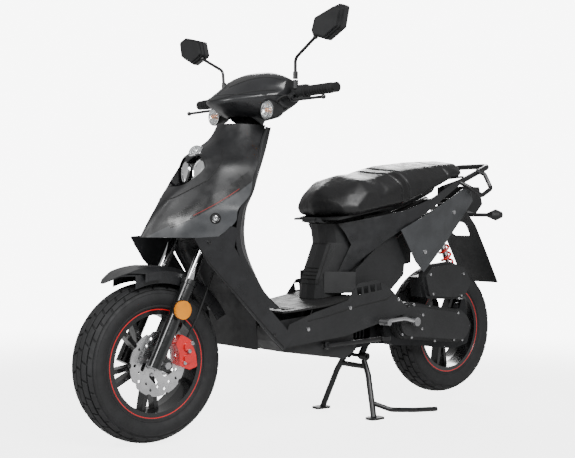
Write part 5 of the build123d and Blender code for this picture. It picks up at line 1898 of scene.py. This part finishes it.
@dataclass
class BarCover:
    """The smooth cover over the handlebar, with its crease lines, lamps and dial.

    Attributes:
        half: half its width, in metres.
        split: height of the joint between its upper and lower halves.
        wall: thickness of the plastic.
    """

    half: float = 0.148
    split: float = 0.0120
    wall: float = 0.003
    body: str = "steering"

    def section(self, share: float, centre: Vector) -> list[Vector]:
        """Outline of the cover at a share of its half width.

        Args:
            share: from -1 to 1.
            centre: middle of the handlebar.

        Returns:
            The outline, in order.
        """
        taper = share * share
        rear = -52 + 20 * taper
        nose = 200 - 140 * taper
        top = 76 - 34 * taper
        low = -82 + 38 * taper
        nose_z = -34 + 22 * taper
        flat = [
            (rear, -6), (rear + 6, top - 30), (rear + 24, top - 9), (16, top), (
                90 - 60 * taper, top - 22 + 12 * taper
            ),
            (nose - 34 + 10 * taper, nose_z + 34 - 12 * taper), (nose, nose_z + 6), (nose - 6, nose_z - 9),
            (130 - 90 * taper, low + 7), (60 - 30 * taper, low), (10, low), (rear + 8, -44 + 18 * taper),
        ]
        return [centre + mm(x, share * self.half * 1000, z) for x, z in flat]

    def shell(self, centre: Vector) -> bpy.types.Object:
        """The closed cover, hollowed.

        Args:
            centre: middle of the handlebar.

        Returns:
            The cover.
        """
        shares = [-1.0, -0.97, -0.8, -0.6, -0.35, 0.0, 0.35, 0.6, 0.8, 0.97, 1.0]
        rows = []
        for share in shares:
            row = self.section(share, centre)
            if abs(share) == 1.0:
                middle = sum(row, Vector()) / len(row)
                row = [middle + (point - middle) * 0.86 for point in row]
            rows.append(row)
        shell = loft("bar_shell", rows, 3, 4, closed=True)
        turn_out(shell, centre + mm(40, 0, 0))
        with shaping(shell, "EDGE"):
            bpy.ops.mesh.select_non_manifold()
            bpy.ops.mesh.edge_face_add()
        return face_out(shell)

    def half_of(self, shell: bpy.types.Object, name: str, height: float, upper: bool) -> bpy.types.Object:
        """One half of the shell.

        Args:
            shell: the whole; it stays as it is.
            name: the half's name.
            height: where it is divided.
            upper: whether to keep what is above.

        Returns:
            The half, hollowed.
        """
        part = copies(shell, [Matrix.Identity(4)])[0]
        part.name = name
        with shaping(part):
            bpy.ops.mesh.select_all(action="SELECT")
            bpy.ops.mesh.bisect(
                plane_co=(0, 0, height), plane_no=(0, 0, 1 if upper else -1), clear_inner=True, use_fill=False
            )
        modify(part, "SOLIDIFY", thickness=self.wall, offset=-1.0)
        return part

    def build(self) -> None:
        """Makes the cover and everything on it."""
        low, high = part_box("handlebar")
        centre = (low + high) / 2
        shell = self.shell(centre)
        height = centre.z - self.split
        upper = self.half_of(shell, "cowl_upper", height, True)
        lower = self.half_of(shell, "cowl_lower", height - 0.0012, False)
        outside = Skin("bar_shell")
        bpy.data.objects.remove(shell)
        dash_low, dash_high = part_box("instrument_cluster")
        dash = (dash_low + dash_high) / 2
        tilt = Vector((-0.8, 0.0, 0.6))
        aside = Way.LEFT.vector
        up = tilt.cross(aside).normalized()
        if up.z < 0:
            up = -up
        window = [
            dash - tilt * 0.03 + aside * (0.0645 * u) + up * (0.0345 * v) for u,
            v in ((-1, -1), (1, -1), (1, 1), (-1, 1))
        ]
        cut(upper, slab("dash_hole", window, tilt * 0.12, 0.0))
        self.collar(lower, centre)
        dress(upper, Finishes.PANEL, self.body, 45)
        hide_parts("bar_cover_upper")
        dress(lower, Finishes.PANEL, self.body, 45)
        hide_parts("bar_cover_lower")
        self.creases(outside, centre)
        self.dial(dash, tilt, aside, up)
        self.indicators()
        log.info("bar cover: %d faces", len(upper.data.polygons) + len(lower.data.polygons))

    def collar(self, lower: bpy.types.Object, centre: Vector) -> None:
        """The neck collar and the indicator cups.

        Args:
            lower: the lower half, which the collar's hole is cut in.
            centre: middle of the handlebar.
        """
        steer = next(joint for joint in frame["joints"] if joint["name"] == "steering_turn")
        axis = Vector(steer["axis"]).normalized()
        if axis.z < 0:
            axis = -axis
        ahead = Vector((axis.z, 0, -axis.x)).normalized()
        foot = centre + ahead * 0.029 - axis * 0.107
        ring = lathe(
            "neck_collar",
            [
                (0.0575, 0.0), (0.059, 0.0014), (0.0595, 0.030), (0.064, 0.066), (0.061, 0.068),
                (0.0565, 0.030), (0.0565, 0.0)
            ],
            foot, axis, 56, closed=True,
        )
        dress(ring, Finishes.NECK, self.body)
        cut(lower, rod("neck_hole", foot - axis * 0.02, foot + axis * 0.062, 0.0555, 40, 0.02))
        cups = []
        lens_low, lens_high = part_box("indicator_lenses")
        for side in Side:
            face = Vector(
                (
                    lens_low.x, side.value * (lens_high.y - (lens_high.z - lens_low.z) / 2),
                    (lens_low.z + lens_high.z) / 2
                )
            )
            cups.append(
                lathe(
                    f"cup_{side.tag}",
                    [(0.0001, -0.052), (0.013, -0.051), (0.020, -0.040), (0.0275, -0.016), (0.0302, -0.004),
                    (0.0302, 0.003), (0.0285, 0.0044),
                     (0.0278, 0.0035), (0.0278, -0.002), (0.0001, -0.004)],
                    face, Way.FORWARD.vector, 40,
                )
            )
        dress(join("indicator_cups", cups), Finishes.GRAINED, self.body, 30)

    def creases(self, skin: Skin, centre: Vector) -> None:
        """The joint between the halves and the S-shaped lines above it.

        Args:
            skin: the cover's outside.
            centre: middle of the handlebar.
        """
        lines = []
        for side in Side:
            points = []
            for number in range(25):
                share = number / 24
                y = side.value * (0.012 + 0.122 * share)
                z = centre.z + 0.016 + 0.022 * math.sin(share * math.pi * 0.9) + 0.016 * share
                met = skin.meet(Vector((1.0, y, z)), -Way.FORWARD.vector)
                if met:
                    points.append(met[0])
            lines.append(tube(f"swage_{side.tag}", points, 0.0013, 2))
            points = []
            for number in range(25):
                share = number / 24
                y = side.value * 0.136 * share
                z = centre.z - 0.030 + 0.034 * share * share * (3 - 2 * share)
                met = skin.meet(Vector((1.0, y, z)), -Way.FORWARD.vector)
                if met:
                    points.append(met[0])
            lines.append(tube(f"joint_{side.tag}", points, 0.0016, 2))
        dress(join("cowl_creases", lines), Finishes.GAP, self.body)

    def dial(self, dash: Vector, tilt: Vector, aside: Vector, up: Vector) -> None:
        """A round dial with ticks, a needle and tell-tales.

        Args:
            dash: middle of the instrument pod.
            tilt: the direction in which it faces.
            aside: its sideways direction.
            up: its upward direction.
        """
        met = Skin("instrument_cluster").meet(dash + tilt * 0.2, -tilt)
        seat = met[0] if met else dash
        face = lathe(
            "dial",
            [(0.0001, 0.0006), (0.021, 0.0006), (0.022, 0.002), (0.0235, 0.002), (0.024, 0.0), (0.0001, 0.0)],
            seat, tilt, 48
        )
        dress(face, Finishes.DIAL, self.body)
        marks = []
        for number in range(13):
            angle = math.radians(225 - number * 22.5)
            way = aside * -math.cos(angle) + up * math.sin(angle)
            wide = 0.0004 if number % 2 else 0.0007
            cross = tilt.cross(way).normalized() * wide
            foot, tip = seat + tilt * 0.0006 + way * 0.0158, seat + tilt * 0.0006 + way * 0.0196
            marks.append(
                slab(
                    f"tick_{number}", [foot - cross, foot + cross, tip + cross, tip - cross], tilt * 0.0004,
                    0.0
                )
            )
        dress(join("dial_ticks", marks), Finishes.MARKS, self.body)
        way = (aside * 0.8 + up * 0.6).normalized()
        cross = tilt.cross(way).normalized()
        root = seat + tilt * 0.0016
        needle = slab(
            "needle",
            [
                root - cross * 0.0011 - way * 0.004, root + cross * 0.0011 - way * 0.004,
                root + way * 0.0165 + cross * 0.0003, root + way * 0.0165 - cross * 0.0003
            ],
            tilt * 0.0005, 0.0
        )
        cap = lathe(
            "needle_cap", [(0.0001, 0.0022), (0.002, 0.002), (0.0024, 0.0), (0.0001, -0.001)], root, tilt, 20
        )
        dress(join("dial_needle", [needle, cap]), Finishes.RED, self.body)
        lamps = []
        for number, shift in enumerate((-0.041, -0.033, 0.033, 0.041)):
            lamps.append(
                lathe(
                    f"telltale_{number}",
                    [(0.0001, 0.0018), (0.0022, 0.0012), (0.0028, 0.0), (0.0001, -0.0004)],
                    seat + aside * shift, tilt, 16
                )
            )
        dress(join("dial_telltales", lamps), Finishes.BULB, self.body)

    def indicators(self) -> None:
        """Reflector bowls, amber bulbs and chrome rings in the front indicators."""
        low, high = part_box("indicator_lenses")
        height = (low.z + high.z) / 2
        radius = (high.z - low.z) / 2
        bowls, bulbs, rings, domes = [], [], [], []
        for side in Side:
            face = Vector((low.x, side.value * (high.y - radius), height))
            ahead = Way.FORWARD.vector
            bowls.append(
                lathe(
                    f"bowl_{side.tag}",
                    [
                        (0.0001, -0.0035), (0.010, -0.003), (0.017, 0.0), (0.0225, 0.0035), (0.0262, 0.004),
                        (0.0262, -0.0035)
                    ],
                    face, ahead, 14
                )
            )
            bulbs.append(
                lathe(
                    f"bulb_{side.tag}",
                    [
                        (0.0001, 0.0115), (0.0038, 0.0108), (0.0066, 0.0078), (0.0076, 0.003),
                        (0.0066, -0.003), (0.0001, -0.003)
                    ],
                    face, ahead, 22
                )
            )
            rings.append(
                lathe(
                    f"bezel_{side.tag}",
                    [(0.0262, 0.0), (0.0262, 0.0042), (0.0278, 0.0056), (0.0292, 0.0044), (0.0292, 0.0)],
                    face, ahead, 44, closed=True
                )
            )
            dome = [(0.0001, 0.0130), (0.008, 0.0124), (0.0165, 0.0102), (0.0225, 0.0068), (0.0258, 0.0030),
            (0.0258, 0.0014),
                    (0.0218, 0.0050), (0.0160, 0.0084), (0.0078, 0.0106), (0.0001, 0.0112)]
            domes.append(lathe(f"dome_{side.tag}", dome, face, ahead, 44))
        dress(join("indicator_bowls", bowls), Finishes.FACET, self.body, 8)
        dress(join("indicator_bulbs", bulbs), Finishes.BULB, self.body, 60)
        dress(join("indicator_bezels", rings), Finishes.CHROME, self.body, 40)
        glass = dress(join("indicator_domes", domes), Finishes.CLEAR, self.body, 60)
        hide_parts("indicator_lenses")


# ---------------------------------------------------------------- trim


@dataclass
class Fasteners:
    """Screws on the covers and the engine."""

    def on(
        self, name: str, node: str, spots: Sequence[Flat], sides: Sequence[Side], radius: float,
        height: float, finish: Finish, body: str, hexed: bool = False
    ) -> None:
        """Sets screws on a node's flanks.

        Args:
            name: the piece's name.
            node: the CAD node that they sit on.
            spots: forward and up of each, in millimetres.
            sides: on which sides.
            radius: radius of a head.
            height: its height.
            finish: its finish.
            body: the body it rides on.
            hexed: whether heads are hexagons.
        """
        skin = Skin(node)
        places = []
        for side in sides:
            for x, z in spots:
                met = skin.from_side(side, x / 1000, z / 1000)
                if met and abs(met[1].y) > 0.5:
                    places.append(met)
        if not places:
            log.warning("%s: nothing to sit on", name)
            return
        dress(bolts(name, places, radius, height, hexed), finish, body)
        log.info("%s: %d heads", name, len(places))

    def build(self) -> None:
        """Sets every screw."""
        both, left = tuple(Side), (Side.LEFT,)
        self.on(
            "tail_screws", "tail_panels", ((-545, 700), (-380, 560)), both, 0.0075, 0.004, Finishes.STEEL,
            "chassis"
        )
        self.on(
            "leg_screws", "leg_side_covers", ((548, 592), (300, 312)), both, 0.006, 0.003, Finishes.LEVER,
            "chassis"
        )
        self.on(
            "skirt_screws", "lower_side_covers", ((150, 320), (-30, 380), (-255, 400)), both, 0.006, 0.003,
            Finishes.STEEL, "chassis"
        )
        rim = [
            (
                -330 + 57 * math.cos(a), 322 + 57 * math.sin(a)
            ) for a in map(math.radians, (60, 110, 160, 210, 260, 310))
        ]
        tail = [
            (-587 + 53 * math.cos(a), 291 + 53 * math.sin(a)) for a in map(math.radians, (70, 180, 250, 300))
        ]
        self.on(
            "drive_screws", "cvt_cover", rim + tail + [(-440, 366), (-470, 245)], left, 0.0052, 0.004,
            Finishes.STEEL, "engine_unit", True
        )
        self.on(
            "filter_screws", "air_filter_box", ((-425, 480), (-600, 480), (-590, 402), (-440, 412)), left,
            0.0045, 0.003, Finishes.STEEL, "engine_unit"
        )


@dataclass
class RearLamps:
    """Red tail lens and amber caps over the rear lamps' housings."""

    body: str = "chassis"

    def build(self) -> None:
        """Makes the lenses."""
        skin = Skin("rear_lamps")
        back = Way.FORWARD.vector
        outline_points = [
            Vector((-1.2, -0.056, 0.786)), Vector((-1.2, 0.056, 0.786)), Vector((-1.2, 0.056, 0.714)),
            Vector((-1.2, -0.056, 0.714))
        ]
        lens = decal("tail_lens", skin, outline_points, back, 0.0022, (28, 12))
        dress(lens, Finishes.TAIL_RED, self.body, 40)
        caps = []
        for side in Side:
            place = Vector((-1.2, side.value * 0.172, 0.694))
            met = skin.meet(place, back)
            if met:
                caps.append(
                    lathe(
                        f"cap_{side.tag}",
                        [
                            (0.0001, 0.0042), (0.007, 0.0036), (0.0118, 0.0012), (0.0125, -0.003),
                            (0.0001, -0.004)
                        ],
                        met[0], -back, 24
                    )
                )
        dress(join("rear_indicator_caps", caps), Finishes.AMBER, self.body, 60)
        log.info("rear lamps: lens and %d caps", len(caps))


@dataclass
class Cables:
    """Control cables from the levers into the bar cover."""

    body: str = "steering"

    def build(self) -> None:
        """Runs a cable or hose from each lever to the cover."""
        low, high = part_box("handlebar")
        bar = (low + high) / 2
        made = []
        for side in Side:
            hand = side.value
            for shift, drop, radius in ((0.0, 0.012, 0.0028), (0.010, 0.022, 0.0024)):
                route = [
                    Vector((bar.x + 0.040 + shift, hand * 0.176, bar.z - 0.014)),
                    Vector((bar.x + 0.052 + shift, hand * 0.160, bar.z - 0.018)),
                    Vector((bar.x + 0.056 + shift, hand * 0.140, bar.z - 0.020 - drop)),
                    Vector((bar.x + 0.040, hand * 0.120, bar.z - 0.030 - drop)),
                    Vector((bar.x + 0.020, hand * 0.098, bar.z - 0.036)),
                ]
                made.append(tube(f"cable_{side.tag}_{drop}", route, radius, 3))
        dress(join("bar_cables", made), Finishes.GRIP, self.body, 60)
        log.info("cables: %d", len(made))


@dataclass
class Seams:
    """Dark creases on the leg covers and skirts, and the ribbed panel on the seat post.

    Attributes:
        leg: crease of the leg covers, forward and up in metres.
        skirt: crease of the lower side covers.
        ribs: heights of the seat post's ribs.
        frame_half: half width of the seat post's panel.
        frame_low: its lower edge.
        frame_high: its upper edge.
    """

    leg: tuple[Flat, ...] = ((0.590, 0.588), (0.545, 0.532), (0.410, 0.408), (0.318, 0.322), (0.262, 0.272))
    skirt: tuple[Flat, ...] = (
        (0.150, 0.345), (0.065, 0.358), (-0.08, 0.386), (-0.20, 0.402), (-0.246, 0.425)
    )
    ribs: tuple[float, ...] = (0.468, 0.480, 0.492, 0.504)
    frame_half: float = 0.040
    frame_low: float = 0.452
    frame_high: float = 0.585
    body: str = "chassis"

    def across(self, skin: Skin, points: Sequence[Flat]) -> list[Vector]:
        """Points on the front of a node, given sideways and up."""
        found = [skin.meet(Vector((1.0, y, z)), -Way.FORWARD.vector) for y, z in points]
        return [met[0] for met in found if met]

    def build(self) -> None:
        """Makes the creases and the panel's lines."""
        parts = [
            crease("leg_creases", Skin("leg_side_covers"), self.leg, 0.0017),
            crease("skirt_creases", Skin("lower_side_covers"), self.skirt, 0.0017),
        ]
        skin = Skin("seat_post_cover")
        half = self.frame_half
        lines = [
            tube(
                f"rib_{number}", self.across(skin, [(half * share / 6, z) for share in range(-5, 6)]), 0.0022,
                2
            )
            for number, z in enumerate(self.ribs)
        ]
        steps = 8
        loop = [(half * (1 - 2 * n / steps), self.frame_high) for n in range(steps + 1)]
        loop += [
            (
                -half * 1.1, self.frame_high + (self.frame_low - self.frame_high) * n / steps
            ) for n in range(steps + 1)
        ]
        loop += [(-half + 2 * half * n / steps, self.frame_low) for n in range(steps + 1)]
        loop += [
            (
                half * 1.1, self.frame_low + (self.frame_high - self.frame_low) * n / steps
            ) for n in range(steps + 1)
        ]
        lines.append(tube("post_frame", self.across(skin, loop), 0.0014, 2))
        parts.append(join("post_lines", lines))
        for part in parts:
            dress(part, Finishes.GAP, self.body)
        log.info("seams: %d pieces", len(parts))


# ---------------------------------------------------------------- stage


@dataclass
class Studio:
    """Pale floor and backdrop, soft lights and the camera.

    Attributes:
        eye: where the camera stands.
        look: the direction in which it looks.
        lift: the camera's upward direction.
        lens: focal length in millimetres on a 36 mm sensor.
        fill: strength of the white surround as a light.
        backdrop: its strength as it is seen directly.
        veil: how much of the floor's paint covers the white behind it.
        reach: distances from the scooter between which the paint fades out.
    """

    eye: tuple[float, float, float] = (2.3216, 2.6167, 0.6382)
    look: tuple[float, float, float] = (-0.64594, -0.76339, -0.00156)
    lift: tuple[float, float, float] = (0.00916, -0.00979, 0.99991)
    lens: float = 65.58
    fill: float = 0.42
    backdrop: float = 8.0
    veil: float = 0.5
    reach: tuple[float, float] = (1.3, 3.4)

    def camera(self) -> None:
        """Places the camera."""
        data = bpy.data.cameras.new("camera")
        data.lens, data.sensor_width = self.lens, 36.0
        data.clip_start, data.clip_end = 0.05, 60.0
        camera = bpy.data.objects.new("camera", data)
        bpy.context.scene.collection.objects.link(camera)
        back, up = -Vector(self.look).normalized(), Vector(self.lift).normalized()
        right = up.cross(back).normalized()
        turn = Matrix((right, back.cross(right), back)).transposed().to_4x4()
        camera.matrix_world = Matrix.Translation(Vector(self.eye)) @ turn
        bpy.context.scene.camera = camera

    def light(self, name: str, place: Vector, target: Vector, size: Flat, power: float) -> None:
        """Adds a soft box.

        Args:
            name: its name.
            place: where it hangs.
            target: what it points at.
            size: its width and height.
            power: watts.
        """
        data = bpy.data.lights.new(name, "AREA")
        data.shape, data.size, data.size_y, data.energy = "RECTANGLE", size[0], size[1], power
        lamp = bpy.data.objects.new(name, data)
        bpy.context.scene.collection.objects.link(lamp)
        lamp.matrix_world = Matrix.Translation(place) @ turned(place - target)

    def floor(self) -> None:
        """A pale floor that fades into the white surround."""
        start()
        bpy.ops.mesh.primitive_plane_add(size=16.0)
        ground = named("studio_floor")
        graph = Graph("studio_white")
        tone = graph.spread(graph.noise(0.4), 0.3, 0.7, 0.0, 1.0)
        paint = graph.done(graph.mix(tone, (0.84, 0.84, 0.84), (0.9, 0.9, 0.9)), 0.7)
        tree = paint.node_tree
        place = tree.nodes.new("ShaderNodeTexCoord")
        away = tree.nodes.new("ShaderNodeVectorMath")
        away.operation = "LENGTH"
        tree.links.new(place.outputs["Object"], away.inputs[0])
        cover = tree.nodes.new("ShaderNodeMapRange")
        cover.interpolation_type = "SMOOTHSTEP"
        cover.inputs["From Min"].default_value, cover.inputs["From Max"].default_value = self.reach
        cover.inputs["To Min"].default_value, cover.inputs["To Max"].default_value = self.veil, 0.0
        tree.links.new(away.outputs["Value"], cover.inputs["Value"])
        blend = tree.nodes.new("ShaderNodeMixShader")
        tree.links.new(cover.outputs["Result"], blend.inputs[0])
        tree.links.new(tree.nodes.new("ShaderNodeBsdfTransparent").outputs[0], blend.inputs[1])
        tree.links.new(graph.shader.outputs[0], blend.inputs[2])
        surface = next(node for node in tree.nodes if node.type == "OUTPUT_MATERIAL")
        tree.links.new(blend.outputs[0], surface.inputs["Surface"])
        ground.data.materials.append(paint)

    def sky(self) -> None:
        """An even white surround."""
        world = bpy.data.worlds.new("studio")
        bpy.context.scene.world = world
        world.use_nodes = True
        tree = world.node_tree
        background = tree.nodes["Background"]
        background.inputs[0].default_value = (1.0, 1.0, 1.0, 1.0)
        path = tree.nodes.new("ShaderNodeLightPath")
        level = tree.nodes.new("ShaderNodeMapRange")
        level.inputs["To Min"].default_value = self.fill
        level.inputs["To Max"].default_value = self.backdrop
        tree.links.new(path.outputs["Is Camera Ray"], level.inputs["Value"])
        tree.links.new(level.outputs[0], background.inputs[1])

    def build(self) -> None:
        """Sets the stage."""
        self.sky()
        self.floor()
        target = Vector((0.0, 0.0, 0.55))
        self.light("key", Vector((1.2, 3.4, 3.2)), target, (2.6, 1.6), 260.0)
        self.light("strip", Vector((3.6, 0.6, 1.9)), target, (0.7, 2.4), 90.0)
        self.light("rim", Vector((-2.8, -2.6, 2.4)), target, (2.0, 1.4), 150.0)
        self.camera()


FINISHED: dict[str, Finish] = {
    "main_frame": Finishes.POWDER,
    "front_shield": Finishes.BODY,
    "headlamp_housing": Finishes.GLOSS,
    "headlamp_lenses": Finishes.CLEAR,
    "leg_shield": Finishes.PANEL,
    "leg_side_covers": Finishes.PANEL,
    "inner_fender": Finishes.GRAINED,
    "floorboard": Finishes.MAT,
    "belly_pan": Finishes.GRAINED,
    "lower_side_covers": Finishes.GRAINED,
    "seat_post_cover": Finishes.GRAINED,
    "side_panels": Finishes.PANEL,
    "tail_panels": Finishes.TAIL,
    "rear_mudguard": Finishes.GRAINED,
    "grab_rail": Finishes.POWDER,
    "rear_lamps": Finishes.GRAINED,
    "storage_bucket": Finishes.GRAINED,
    "ignition_key": Finishes.STEEL,
    "steering_stem": Finishes.POWDER,
    "fork_stanchions": Finishes.CHROME,
    "handlebar": Finishes.POWDER,
    "switch_housings": Finishes.GRAINED,
    "bar_cover_upper": Finishes.PANEL,
    "bar_cover_lower": Finishes.PANEL,
    "instrument_cluster": Finishes.GRAINED,
    "indicator_lenses": Finishes.CLEAR,
    "left_grip": Finishes.GRIP,
    "throttle_grip": Finishes.GRIP,
    "mirror_stems": Finishes.POWDER,
    "left_brake_lever": Finishes.LEVER,
    "right_brake_lever": Finishes.LEVER,
    "horn_button": Finishes.BULB,
    "starter_button": Finishes.MARKS,
    "left_mirror_head": Finishes.GRAINED,
    "right_mirror_head": Finishes.GRAINED,
    "left_mirror_glass": Finishes.MIRROR,
    "right_mirror_glass": Finishes.MIRROR,
    "fork_sliders": Finishes.FORK,
    "front_axle": Finishes.STEEL,
    "front_fender": Finishes.PANEL,
    "brake_caliper": Finishes.RED,
    "reflectors": Finishes.AMBER,
    "brake_hose": Finishes.GRIP,
    "front_rim": Finishes.WHEEL,
    "rear_rim": Finishes.WHEEL,
    "front_tyre": Finishes.RUBBER,
    "rear_tyre": Finishes.RUBBER,
    "engine_case": Finishes.ALLOY,
    "cvt_cover": Finishes.GRAINED,
    "air_filter_box": Finishes.GRAINED,
    "exhaust": Finishes.PIPE,
    "kick_lever": Finishes.STEEL,
    "shock_body": Finishes.CHROME,
    "shock_spring": Finishes.SPRING,
    "shock_rod": Finishes.CHROME,
    "centre_stand": Finishes.POWDER,
    "side_stand": Finishes.POWDER,
    "seat_cushion": Finishes.SEAT,
    "seat_base": Finishes.GRAINED,
}


def dress_frame() -> None:
    """Gives every CAD node its finish."""
    for name, node in frame["nodes"].items():
        finish = FINISHED.get(name, Finishes.GRAINED)
        if name == "brake_disc":
            low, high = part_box(name)
            middle = (low + high) / 2
            finish = Finishes.disc(middle)
        node.data.materials.clear()
        node.data.materials.append(Finishes.get(finish))


def corners(box: tuple[Vector, Vector]) -> list[list[float]]:
    """A box as plain lists."""
    return [[float(value) for value in corner] for corner in box]


def main() -> None:
    """Builds the scooter's pieces in order and reports each."""
    logging.basicConfig(level=logging.INFO, format="%(name)s: %(message)s", stream=sys.stdout)
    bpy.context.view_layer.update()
    dress_frame()
    for maker in (
        Tyre("front_tyre", "front_wheel"),
        Tyre("rear_tyre", "rear_wheel"),
        Wheel("front_rim", "front_wheel"),
        Wheel("rear_rim", "rear_wheel"),
        Brake(),
        Saddle(),
        Coil(),
        FrontShield(),
        LegShield(),
        BarCover(),
        Fasteners(),
        RearLamps(),
        Cables(),
        Seams(),
        SideSkins(
            "side_panels",
            (
                (-20, 71), (-51, 76), (-95, 90), (-150, 110), (-212, 130), (-300, 148), (-400, 158),
                (-480, 150), (-640, 128)
            ),
            (
                (-42, 472), (-70, 530), (-96, 583), (-74, 622), (-48, 652), (-110, 663), (-304, 704),
                (-430, 752),
                (-548, 806), (-600, 806), (-500, 754), (-389, 696), (-290, 641), (-212, 594), (-145, 545),
                (-88, 492),
            ),
            Finishes.PANEL,
            "body_plastic",
        ),
        SideSkins(
            "tail_panels",
            ((-200, 158), (-400, 160), (-560, 144), (-700, 118)),
            ((-262, 634), (-334, 528), (-376, 490), (-612, 690), (-676, 744), (-664, 780), (-606, 786)),
            Finishes.TAIL,
            "tail_plastic",
        ),
    ):
        maker.build()
    Studio().build()


if __name__ == "__main__":
    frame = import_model()
    main()
